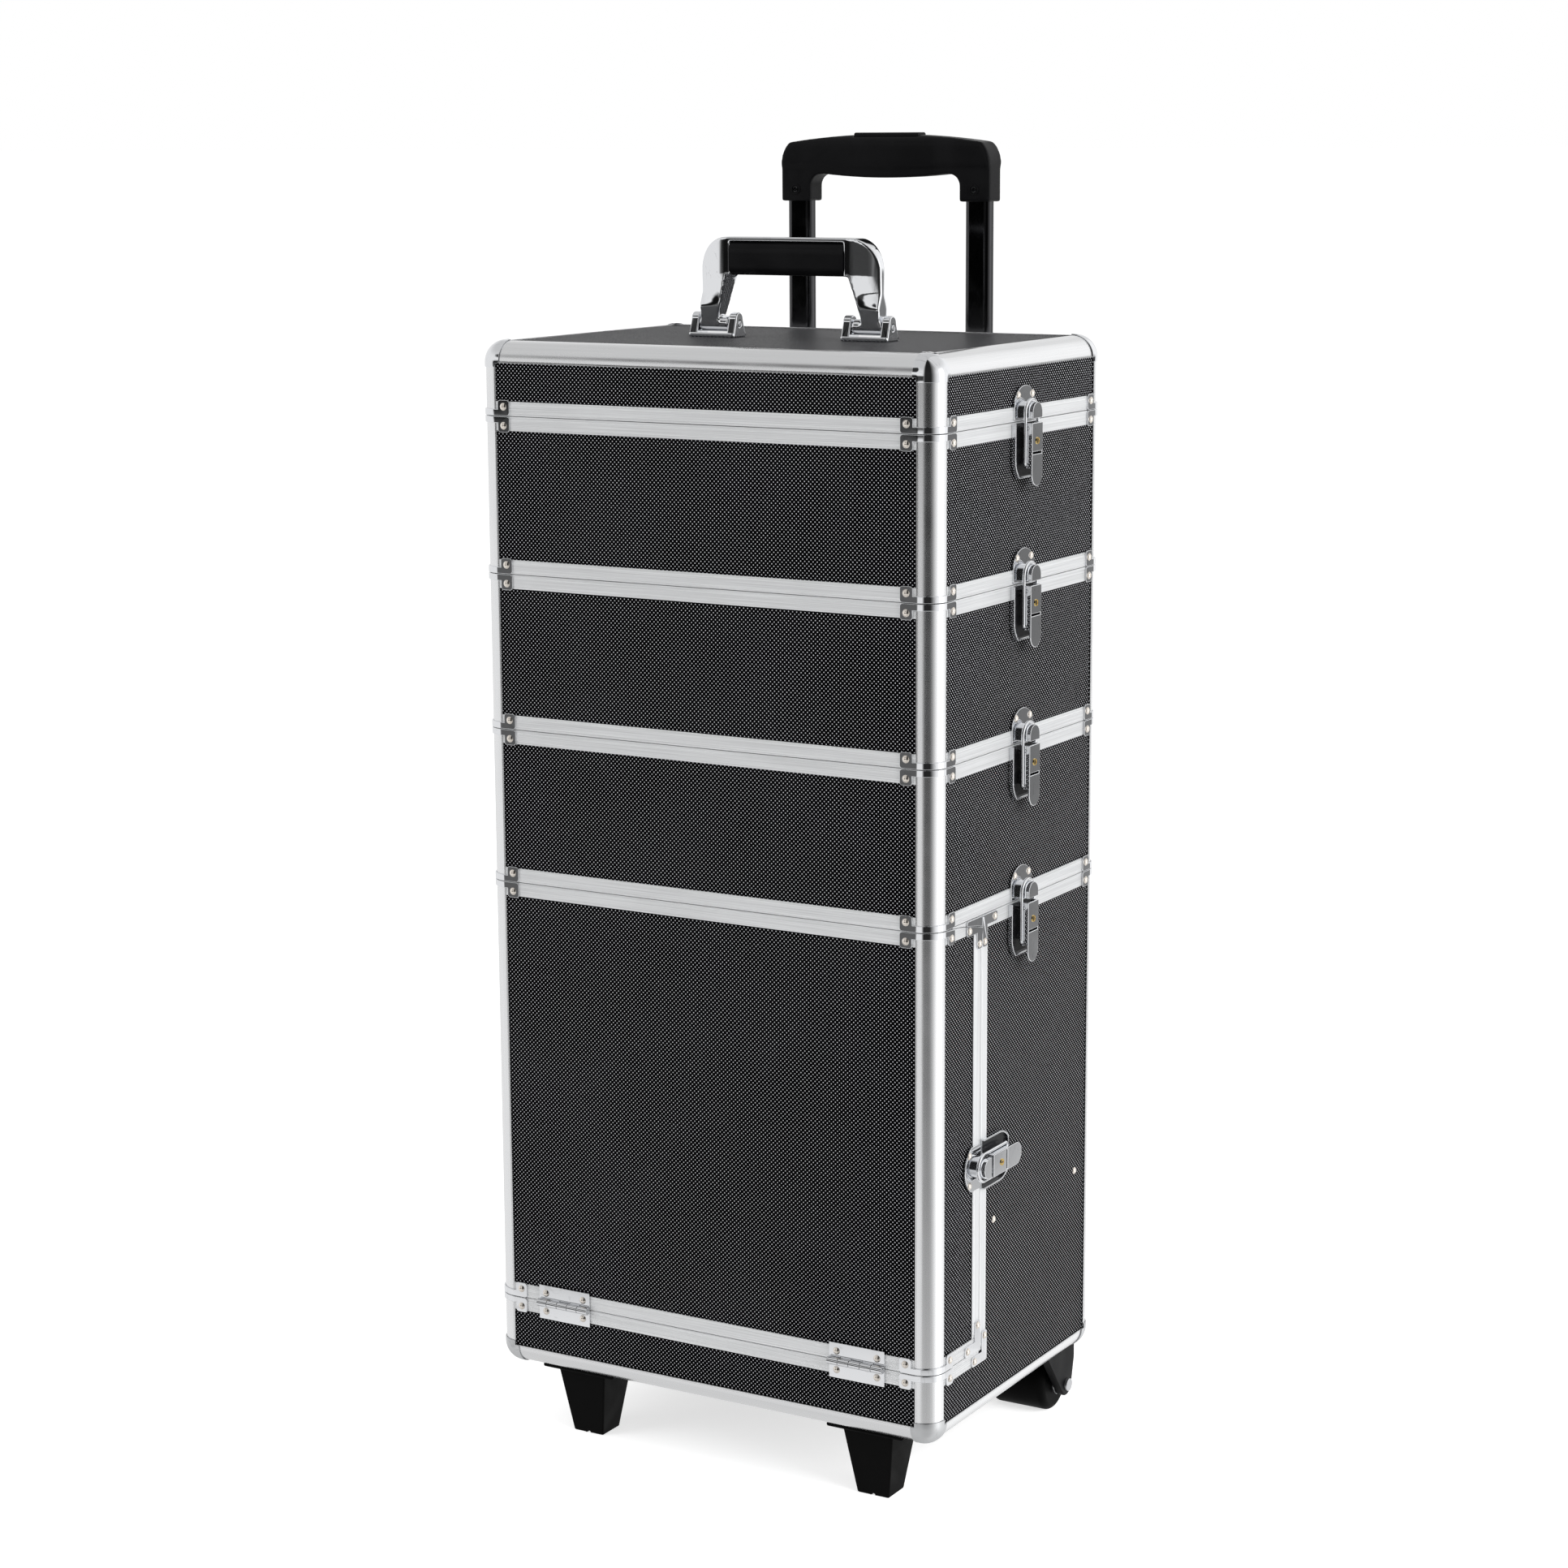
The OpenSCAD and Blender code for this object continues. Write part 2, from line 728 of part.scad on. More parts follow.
module lid_panels() {
    color("#1c1c1e") at_case() {
        wall_panels(z_tier[3] + joint_gap / 2 + profile_t + fit, z_top - corner_r - fit);
        translate([-half_run(0), -half_run(1), z_top - panel_in - panel_t])
            cube([2 * half_run(0), 2 * half_run(1), panel_t]);
    }
}

module lid_frame() {
    color("#c9cbcd") at_case() {
        posts(z_tier[3] + joint_gap / 2, z_top - corner_r - fit);
        for (k = [0:3]) {
            edge_profile(k, z_top - corner_r, true);
            face(k) strip(-half_run(k), half_run(k), z_tier[3], true);
        }
    }
}

module lid_corner_caps() {
    color("#dfe1e4") at_case() corners() translate([0, 0, z_top - corner_r]) corner_cap();
}

module lid_fittings() {
    color("#dfe1e4") at_case() {
        clips(z_tier[3], true);
        for (left = [false, true]) at_latch("lid", left) latch_strike();
    }
}

// Carry handle

// A bracket on the lid: a plate with two round-topped ears and the handle's pin
module carry_handle_brackets() {
    color("#dfe1e4") at_case() both_sides() translate([bracket_x, 0, z_top - panel_in + fit]) {
        axis = handle_axis_z + panel_in - fit;
        ear_r = bracket_d / 4;
        ear_top = ear_h - ear_r;
        ear_foot = bracket_d / 2 - 1;
        difference() {
            union() {
                linear_extrude(bracket_plate) translate([0, -bracket_d / 2])
                    rounded(bracket_w, bracket_d, tab_r);
                for (x = [ear_t / 2 - bracket_w / 2, bracket_w / 2 - ear_t / 2])
                    translate([x - ear_t / 2, 0, 0]) rotate([90, 0, 90]) linear_extrude(ear_t) {
                        polygon([[-ear_foot, 0], [ear_foot, 0], [ear_r, ear_top], [-ear_r, ear_top]]);
                        translate([0, ear_top]) circle(ear_r);
                    }
            }
            translate([0, 0, axis]) rotate([0, 90, 0])
                cylinder(h = 2 * bracket_w, r = handle_pin_r + run_gap, center = true);
        }
        translate([0, 0, axis]) rotate([0, 90, 0])
            cylinder(h = bracket_w - 1, r = handle_pin_r, center = true);
    }
}

// The handle's front outline: a band over the grip, running down into two tapered legs
module handle_outline() {
    h = handle_h - handle_axis_z;
    difference() {
        union() {
            translate([0, -handle_r]) rounded(handle_w, h + handle_r, handle_r);
        }
        translate([-handle_grip_l / 2 - fit, h - handle_band - handle_grip_h - fit])
            square([handle_grip_l + 2 * fit, handle_grip_h + fit]);
        polygon([[-handle_w / 2 + leg_w, -2 * handle_r], [handle_w / 2 - leg_w, -2 * handle_r],
            [handle_w / 2 - leg_w, 6], [handle_grip_l / 2 + 3, h - handle_band - handle_grip_h],
            [-handle_grip_l / 2 - 3, h - handle_band - handle_grip_h], [-handle_w / 2 + leg_w, 6]]);
        translate([-handle_w, -2 * handle_r]) square([2 * handle_w, 2 * handle_r]);
    }
}

module carry_handle_frame() {
    barrel_r = handle_pin_r + 3.2;
    barrel_w = bracket_w - 2 * ear_t - 1;
    color("#dfe1e4") at_case() translate([0, 0, handle_axis]) difference() {
        union() {
            intersection() {
                rotate([90, 0, 0]) linear_extrude(handle_d, center = true) handle_outline();
                rotate([90, 0, 90]) linear_extrude(2 * handle_w, center = true) polygon([
                    [-barrel_r, 0], [barrel_r, 0], [handle_d / 2, handle_h / 2], [handle_d / 2, handle_h],
                    [-handle_d / 2, handle_h], [-handle_d / 2, handle_h / 2]]);
            }
            both_sides() translate([bracket_x, 0, 0]) rotate([0, 90, 0])
                cylinder(h = barrel_w, r = barrel_r, center = true);
        }
        rotate([0, 90, 0]) cylinder(h = 2 * handle_w, r = handle_pin_r + run_gap, center = true);
    }
}

// Black grip under the band, with rounded lower edges
module carry_handle_grip() {
    h = handle_h - handle_axis_z;
    round_r = 6;
    color("#141415") at_case() translate([0, 0, handle_axis + h - handle_band - handle_grip_h])
        rotate([90, 0, 90]) linear_extrude(handle_grip_l, center = true) {
            rounded(handle_d + 2, handle_grip_h - 2, round_r);
            translate([-handle_d / 2, handle_grip_h / 2]) square([handle_d, handle_grip_h / 2 - fit]);
        }
}

// Base

module base_panels() {
    z_low = z_bottom + corner_r + fit;
    z_sill = z_door - joint_gap / 2 - profile_t - fit;
    z_high = z_tier[0] - joint_gap / 2 - profile_t - fit;
    x_joint = door_joint + joint_gap / 2 + profile_t + fit;
    x_end = half_run(1);
    color("#1c1c1e") at_case() {
        wall_panels(z_low, z_sill, [0]);
        wall_panels(z_low, z_high, [2]);
        both_sides() face(1) translate([0, panel_in + panel_t, 0]) rotate([90, 0, 0]) linear_extrude(panel_t)
            polygon([[-x_end, z_low], [x_end, z_low], [x_end, z_high], [x_joint, z_high],
                [x_joint, z_sill], [-x_end, z_sill]]);
        translate([-half_run(0), -half_run(1), z_bottom + panel_in])
            cube([2 * half_run(0), 2 * half_run(1), panel_t]);
    }
}

module base_frame() {
    z_low = z_bottom + corner_r;
    z_high = z_tier[0];
    color("#c9cbcd") at_case() {
        posts(z_low + fit, z_high - joint_gap / 2, [false]);
        posts(z_low + fit, z_door - joint_gap / 2, [true]);
        for (k = [0:3]) edge_profile(k, z_low, false);
        face(2) strip(-half_run(2), half_run(2), z_high, false, true);
        face(0) strip(-half_run(0), half_run(0), z_door, false);
        both_sides() union() {
            face(1) strip(door_joint + joint_gap / 2, half_run(1), z_high, false, true);
            difference() {
                face(1) joint_band(spur_tip, door_joint + joint_gap / 2 + profile_t / 2);
                door_swing(joint_gap);
            }
        }
        both_sides() face(1) {
            strip(-half_run(1), door_joint + joint_gap / 2 - fit, z_door, false);
            upright_strip(door_joint, z_door - joint_gap / 2 - profile_t,
                z_high - joint_gap / 2 - strip_h - fit, true);
        }
    }
}

module base_corner_caps() {
    color("#b9bbbd") at_case() corners() translate([0, 0, z_bottom + corner_r])
        mirror([0, 0, 1]) corner_cap();
}

module base_fittings() {
    color("#dfe1e4") at_case() {
        clips(z_tier[0], false, [false]);
        clips(z_door, false, [true]);
        both_sides() base_plates();
        for (left = [false, true]) {
            at_latch("tier3", left) latch_pan();
            at_latch("door", left) latch_pan();
        }
        both_sides() for (y = rail_screws()) translate([hw - panel_in + fit, y, z_door + rail_z])
            rotate([0, 90, 0]) rivet();
    }
}

// Tapered feet with a flange under the case and a notch in the front of the tread
module front_feet() {
    flange_w = foot_top_w + 2 * flange_rim;
    flange_d = foot_top_d + flange_rim;
    foot_top = foot_h - flange_t;
    notch = 2.5;
    color("#101011") at_case() both_sides() translate([foot_x, foot_y, 0]) {
        translate([0, -flange_d / 2, foot_top - fit])
            linear_extrude(flange_t) rounded(flange_w, flange_d, tab_r);
        difference() {
            intersection() {
                rotate([90, 0, 0]) linear_extrude(2 * foot_top_d, center = true)
                    polygon([[-foot_low_w / 2, 0], [foot_low_w / 2, 0],
                        [foot_top_w / 2, foot_top], [-foot_top_w / 2, foot_top]]);
                rotate([90, 0, 90]) linear_extrude(2 * foot_top_w, center = true)
                    polygon([[-foot_low_d / 2, 0], [foot_low_d / 2, 0],
                        [foot_top_d / 2, foot_top], [-foot_top_d / 2, foot_top]]);
            }
            translate([0, -foot_low_d / 2, 0]) rotate([90, 0, 0])
                cylinder(h = foot_low_d, r = notch / 2, center = true);
        }
    }
}

// Roller bracket: a plate under the case with two arms that taper to the axle
module wheel_brackets() {
    arm_r = axle_r + 5;
    arm_top = foot_h - cap_t - 2 * fit;
    arm_front = -roller_r - arm_lead;
    arm_rear = axle_back - 2;
    color("#101011") at_case() both_sides() translate([roller_x, axle_y, 0]) difference() {
        union() {
            translate([-arm_in - arm_t, arm_front, arm_top - flange_t])
                cube([2 * (arm_in + arm_t), arm_rear - arm_front, flange_t]);
            for (x = [-arm_in - arm_t, arm_in])
                translate([x, 0, 0]) rotate([90, 0, 90]) linear_extrude(arm_t) {
                    translate([0, roller_r]) circle(arm_r);
                    polygon([[arm_front, arm_top], [arm_rear, arm_top], [arm_rear, arm_top - arm_edge],
                        [arm_r * cos(20), roller_r - arm_r * sin(20)], [0, roller_r - arm_r],
                        [-arm_r * cos(40), roller_r - arm_r * sin(40)]]);
                }
        }
        translate([0, 0, roller_r]) rotate([0, 90, 0])
            cylinder(h = 4 * roller_w, r = axle_r + run_gap, center = true);
    }
}

// Axles with a head outside each arm and a washer beside the roller
module wheel_axles() {
    head_t = axle_r * 2 / 3;
    washer_t = axle_r / 2;
    reach = arm_in + arm_t + fit;
    color("#c4c6c9") at_case() both_sides() translate([roller_x, axle_y, roller_r]) rotate([0, 90, 0]) {
        cylinder(h = 2 * reach, r = axle_r, center = true);
        for (z = [-reach - head_t, reach]) translate([0, 0, z]) cylinder(h = head_t, r = axle_r * 3 / 2);
        for (z = [-arm_in + fit, arm_in - fit - washer_t])
            translate([0, 0, z]) cylinder(h = washer_t, r = axle_r * 8 / 3);
    }
}

// A wide roller with round shoulders and a shallow recess at each end
module wheel(left) {
    shoulder = 5;
    half = roller_w / 2;
    color("#151516") at_case() flip_x(left) translate([roller_x, axle_y, roller_r]) rotate([0, 90, 0])
        difference() {
            rotate_extrude() {
                translate([0, -half]) square([roller_r - shoulder, roller_w]);
                translate([0, shoulder - half]) square([roller_r, roller_w - 2 * shoulder]);
                for (y = [shoulder - half, half - shoulder])
                    translate([roller_r - shoulder, y]) circle(shoulder);
            }
            cylinder(h = 2 * roller_w, r = axle_r + run_gap, center = true);
        }
}

// Door and its hinges

module door_panels() {
    inset = joint_gap / 2 + profile_t + fit;
    z0 = z_door + inset;
    z1 = z_tier[0] - inset;
    color("#1c1c1e") at_case() {
        wall_panels(z0, z1, [0]);
        both_sides() intersection() {
            face(1) panel(-half_run(1), door_joint - inset, z0, z1);
            door_swing(-profile_t - fit);
        }
    }
}

module door_frame() {
    z1 = z_tier[0];
    color("#c9cbcd") at_case() {
        intersection() {
            posts(z_door + joint_gap / 2, z1 - joint_gap / 2, [true]);
            door_swing();
        }
        both_sides() intersection() {
            union() {
                face(1) strip(-half_run(1), door_joint - joint_gap / 2, z1, false);
                difference() {
                    face(1) joint_band(-half_run(1), door_joint - joint_gap / 2);
                    door_swing(-profile_t);
                }
            }
            door_swing();
        }
        face(0) {
            strip(-half_run(0), half_run(0), z_door, true);
            strip(-half_run(0), half_run(0), z1, false);
        }
        both_sides() face(1) {
            strip(-half_run(1), door_joint - joint_gap / 2, z_door, true);
            upright_strip(door_joint, z_door + joint_gap / 2 + strip_h + fit,
                z1 - joint_gap / 2 - strip_h - fit, false);
        }
    }
}

module door_fittings() {
    color("#dfe1e4") at_case() {
        clips(z_door, true, [true]);
        intersection() {
            clips(z_tier[0], false, [true]);
            door_swing();
        }
        both_sides() door_plates();
        for (left = [false, true]) at_latch("door", left) latch_strike();
    }
}

// A rod along X on the hinge line
module hinge_rod(x0, x1, r) {
    translate([x0, -knuckle_off, 0]) rotate([0, 90, 0]) cylinder(h = x1 - x0, r = r);
}

// One leaf of a butt hinge with its knuckles: the base has the odd ones, the door the even ones
module hinge_leaf(door) {
    knuckles = 5;
    pitch = hinge_w / knuckles;
    first = door ? 1 : 0;
    half_slit = 0.15;
    leaf_foot = 0.9;
    difference() {
        union() {
            flip_z(!door) translate([-hinge_w / 2, -fit - leaf_t, leaf_foot])
                cube([hinge_w, leaf_t, leaf_h - leaf_foot]);
            for (i = [first:2:knuckles - 1]) let (x = i * pitch - hinge_w / 2)
                hinge_rod(x + half_slit, x + pitch - half_slit, knuckle_r);
        }
        for (i = [1 - first:2:knuckles - 1]) let (x = i * pitch - hinge_w / 2)
            hinge_rod(x - half_slit, x + pitch + half_slit, knuckle_r + slide_gap);
        hinge_rod(-hinge_w, hinge_w, hinge_pin_r + run_gap);
    }
    rivet_x = hinge_w / 2 - rivet_d - 0.5;
    rivet_z = (leaf_h + leaf_foot) / 2;
    for (x = [-rivet_x, rivet_x]) translate([x, -2 * fit - leaf_t, door ? rivet_z : -rivet_z])
        rotate([90, 0, 0]) rivet();
}

module at_hinge() {
    both_sides() face(0) translate([hw - hinge_in, 0, z_door]) children();
}

module hinge_door_leaves() {
    color("#dfe1e4") at_case() at_hinge() hinge_leaf(true);
}

module hinge_base_leaves() {
    color("#dfe1e4") at_case() at_hinge() {
        hinge_leaf(false);
        hinge_rod(-hinge_w / 2, hinge_w / 2, hinge_pin_r);
    }
}

// Drawer

// Places of the rail screws along the side
function rail_screws() = [rail_front + screw_front, drawer_back - screw_rear];

// Channel rails on the base's side walls
module drawer_rails() {
    len = drawer_back - rail_front;
    z0 = z_door + rail_z - rail_h / 2;
    color("#b4b6b8") at_case() both_sides() translate([rail_x - rail_d, rail_front, z0]) difference() {
        cube([rail_d - fit, len, rail_h]);
        translate([-profile_t - fit, -1, profile_t]) cube([rail_d, len + 2, rail_h - 2 * profile_t]);
    }
}

// Runners on the drawer's sides, inside the rails
module drawer_runners() {
    depth = rail_x - profile_t - fit - slide_gap - drawer_hw - fit;
    height = rail_h - 2 * (profile_t + slide_gap);
    color("#b4b6b8") at_case() both_sides()
        translate([drawer_hw + fit, drawer_front, z_door + rail_z - height / 2])
            cube([depth, drawer_back - drawer_front, height]);
}

// Open tray with a finger notch in its front
module drawer_tray() {
    len = drawer_back - drawer_front;
    color("#1c1c1e") at_case() translate([0, drawer_front, drawer_low]) difference() {
        translate([-drawer_hw, 0, 0]) cube([2 * drawer_hw, len, drawer_h]);
        translate([-drawer_hw + drawer_t, drawer_t, drawer_t])
            cube([2 * (drawer_hw - drawer_t), len - 2 * drawer_t, drawer_h]);
        translate([0, drawer_t / 2, drawer_h]) rotate([90, 0, 0])
            cylinder(h = 2 * drawer_t, r = drawer_h / 4, center = true);
    }
}

// Trolley handle

module at_tubes(z) {
    both_sides() translate([trolley_x, trolley_y, z]) children();
}

// Brackets that hold the outer tubes off the rear wall, at the foot and at the top
module trolley_brackets() {
    wall_y = fit - panel_in - trolley_off;
    ear = 9;
    upper_z = z_tier[0] - joint_gap / 2 - strip_h - bracket_h - 1;
    color("#141415") at_case() for (z = [outer_low - bracket_t, upper_z]) at_tubes(z) difference() {
        linear_extrude(bracket_h) {
            obround(outer_w + 2 * (fit + bracket_t), outer_d + 2 * (fit + bracket_t));
            translate([2 - outer_w / 2, wall_y]) square([outer_w - 4, -wall_y]);
            translate([-outer_w / 2 - ear, wall_y]) square([outer_w + 2 * ear, bracket_t]);
        }
        translate([0, 0, z < outer_low ? bracket_t - fit : -1])
            linear_extrude(2 * bracket_h) obround(outer_w + 2 * fit, outer_d + 2 * fit);
    }
}

module trolley_outer_tubes() {
    color("#0f0f10") at_case() at_tubes(outer_low) linear_extrude(tube_l) tube_section(outer_w, outer_d);
}

module trolley_middle_tubes() {
    color("#0f0f10") at_case() at_tubes(middle_low) linear_extrude(tube_l) tube_section(middle_w, middle_d);
}

module trolley_inner_tubes() {
    color("#0f0f10") at_case() at_tubes(inner_low) linear_extrude(tube_l) tube_section(tube_w, tube_d);
}

// The grip's front outline: a crowned bar running down into two sockets
module grip_outline() {
    crown_r = 520;
    corner = 20;
    gap_w = 2 * trolley_x - socket_w;
    gap_h = grip_h - grip_bar;
    difference() {
        intersection() {
            translate([0, -corner]) rounded(grip_w, grip_h + corner, corner);
            translate([0, grip_h - crown_r]) circle(crown_r, $fn = 256);
            translate([-grip_w, 0]) square([2 * grip_w, 2 * grip_h]);
        }
        translate([0, -corner]) rounded(gap_w, gap_h + corner, 8);
    }
}

// Push-button pocket or the button itself, seen along X
module button_body(grow) {
    translate([-button_l / 2 - grow, -button_w / 2 - grow, 0])
        cube([button_l + 2 * grow, button_w + 2 * grow, grip_h]);
}

module trolley_grip() {
    round_r = 8;
    pocket = 6 + button_travel;
    color("#141415") at_case() translate([0, trolley_y, grip_low]) difference() {
        intersection() {
            rotate([90, 0, 0]) linear_extrude(2 * grip_d, center = true) grip_outline();
            rotate([90, 0, 90]) linear_extrude(2 * grip_w, center = true) {
                translate([-socket_d / 2, 0]) square([socket_d, grip_h - 4]);
                translate([0, grip_h - grip_bar]) rounded(grip_d, grip_bar, round_r);
            }
        }
        translate([0, 0, grip_h - pocket]) button_body(slide_gap);
        both_sides() translate([trolley_x, 0, -1]) linear_extrude(socket_h + 1 + fit)
            obround(tube_w + 2 * fit, tube_d + 2 * fit);
    }
}

module trolley_button() {
    proud = 1;
    color("#1a1a1b") at_case() translate([0, trolley_y, grip_low + grip_h - 6]) intersection() {
        button_body(0);
        rotate([90, 0, 90]) linear_extrude(2 * button_l, center = true) rounded(button_w, 6 + proud, 2);
    }
}

// Drawing

base_panels();
base_frame();
base_corner_caps();
base_fittings();
hinge_base_leaves();
front_feet();
wheel_brackets();
wheel_axles();
wheel(true);  // wheel_left
wheel(false);  // wheel_right
drawer_rails();
drawer_tray();
drawer_runners();
door_panels();
door_frame();
door_fittings();
hinge_door_leaves();
for (i = [3, 2, 1]) {
    tier_panels(i);
    tier_frame(i);
    tier_fittings(i);
}
lid_panels();
lid_frame();
lid_corner_caps();
lid_fittings();
carry_handle_brackets();
carry_handle_frame();
carry_handle_grip();
trolley_brackets();
trolley_outer_tubes();
trolley_middle_tubes();
trolley_inner_tubes();
trolley_grip();
trolley_button();
for (name = LATCHES, left = [false, true]) {
    side = left ? "left" : "right";
    color("#dfe1e4") at_case() at_latch(name, left) latch_lever();
    color("#dfe1e4") at_case() at_latch(name, left) latch_bail();
}
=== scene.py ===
"""Looks of the rolling make-up case: softened metal, dotted laminate, latch and handle detail, studio."""

import json
import logging
import math
from dataclasses import dataclass
from enum import Enum
from functools import cache
from typing import Any, Callable, Iterable, Iterator

import bmesh
import bpy
from mathutils import Matrix, Vector

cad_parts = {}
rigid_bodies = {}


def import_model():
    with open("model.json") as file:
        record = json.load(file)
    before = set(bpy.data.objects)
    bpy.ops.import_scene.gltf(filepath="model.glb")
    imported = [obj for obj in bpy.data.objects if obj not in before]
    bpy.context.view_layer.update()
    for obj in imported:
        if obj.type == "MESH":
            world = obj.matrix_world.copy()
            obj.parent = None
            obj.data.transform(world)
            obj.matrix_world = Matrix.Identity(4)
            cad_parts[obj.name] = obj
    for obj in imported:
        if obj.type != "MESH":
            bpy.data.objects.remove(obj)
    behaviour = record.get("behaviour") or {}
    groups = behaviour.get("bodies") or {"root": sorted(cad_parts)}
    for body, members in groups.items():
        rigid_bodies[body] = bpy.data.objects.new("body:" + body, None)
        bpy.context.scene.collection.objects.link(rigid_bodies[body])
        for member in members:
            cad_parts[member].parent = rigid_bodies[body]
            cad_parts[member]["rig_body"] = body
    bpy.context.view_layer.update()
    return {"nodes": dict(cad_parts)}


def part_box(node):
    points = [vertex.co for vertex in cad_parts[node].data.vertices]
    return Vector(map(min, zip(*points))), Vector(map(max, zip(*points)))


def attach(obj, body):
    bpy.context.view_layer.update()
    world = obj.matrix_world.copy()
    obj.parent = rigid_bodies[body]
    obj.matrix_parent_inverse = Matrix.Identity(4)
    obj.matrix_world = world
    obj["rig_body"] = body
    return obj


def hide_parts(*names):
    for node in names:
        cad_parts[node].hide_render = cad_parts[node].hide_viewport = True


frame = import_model()
LOG = logging.getLogger("make_up_case")
MM = 0.001
DEGREE = math.radians(1.0)
RIVET_SIZE = 6.5 * MM
OBLONG_SHARE = 0.985
Colour = tuple[float, float, float]
Socket = bpy.types.NodeSocket
Node = bpy.types.Node
Piece = bpy.types.Object
Tree = bpy.types.NodeTree
BMesh = bmesh.types.BMesh
Face = bmesh.types.BMFace
Edge = bmesh.types.BMEdge
Vert = bmesh.types.BMVert


class Axis(Enum):
    """The way a drawn profile runs."""

    X = 0
    Y = 1
    Z = 2


class Slot(Enum):
    """The record's material slots."""

    LAMINATE = "black_laminate"
    SATIN = "satin_aluminium"
    MATT = "matt_aluminium"
    CHROME = "chrome"
    PLASTIC = "black_plastic"
    TUBE = "black_tube"
    RUBBER = "roller_rubber"
    STEEL = "plain_steel"


@dataclass(frozen=True)
class Band:
    """A smooth step: two places along a scale and the value at each."""

    low: float
    high: float
    at_low: float
    at_high: float


class Graph:
    """A node tree with short calls for adding and joining nodes."""

    def __init__(self, tree: Tree) -> None:
        """Keeps the tree that the nodes go into."""
        self.tree = tree

    @classmethod
    def emptied(cls, owner: Any) -> "Graph":
        """Returns the emptied graph of a material or a world."""
        owner.use_nodes = True
        owner.node_tree.nodes.clear()
        return cls(owner.node_tree)

    def node(self, kind: str, inputs: dict[Any, Any] | None = None, **settings: Any) -> Node:
        """Adds a node.

        Args:
            kind: the node's type name.
            inputs: sockets or plain values for its inputs, by name or number.
            **settings: the node's own properties.

        Returns:
            The new node.
        """
        made = self.tree.nodes.new(kind)
        for key, value in settings.items():
            setattr(made, key, value)
        for key, value in (inputs or {}).items():
            if isinstance(value, Socket):
                self.join(value, made.inputs[key])
            else:
                made.inputs[key].default_value = value
        return made

    def join(self, start: Socket, end: Socket) -> None:
        """Links an output to an input."""
        self.tree.links.new(start, end)

    def math(self, operation: str, a: Any, b: Any = 0.0) -> Socket:
        """Returns the result of a math node on two sockets or numbers."""
        return self.node("ShaderNodeMath", {0: a, 1: b}, operation=operation).outputs[0]

    def scaled(self, value: Socket, factor: float, base: Any) -> Socket:
        """Returns a value times a factor, added to a base."""
        inputs = {0: value, 1: factor, 2: base}
        return self.node("ShaderNodeMath", inputs, operation="MULTIPLY_ADD").outputs[0]

    def vector(self, operation: str, a: Any, b: Any = (0.0, 0.0, 0.0)) -> Node:
        """Returns a vector math node on two sockets or vectors."""
        return self.node("ShaderNodeVectorMath", {0: a, 1: b}, operation=operation)

    def span(self, value: Any, low: float, high: float, to_low: float, to_high: float) -> Socket:
        """Returns a value moved smoothly from one range to another."""
        inputs = {0: value, 1: low, 2: high, 3: to_low, 4: to_high}
        return self.node("ShaderNodeMapRange", inputs, interpolation_type="SMOOTHSTEP").outputs[0]

    def step(self, value: Socket, band: Band, unit: float = 1.0) -> Socket:
        """Returns a value led through a band whose places are in some unit."""
        return self.span(value, band.low * unit, band.high * unit, band.at_low, band.at_high)

    def mix(self, share: Any, a: Any, b: Any) -> Socket:
        """Returns a colour between two colours."""
        return self.node("ShaderNodeMix", {0: share, 6: a, 7: b}, data_type="RGBA").outputs[2]

    def noise(self, place: Socket, scale: Any, detail: float, **more: float) -> Socket:
        """Returns a noise; more sets its other inputs, by their names in lower case."""
        named = {name.title(): value for name, value in more.items()}
        inputs = {"Vector": place, "Scale": scale, "Detail": detail, **named}
        return self.node("ShaderNodeTexNoise", inputs).outputs[0]


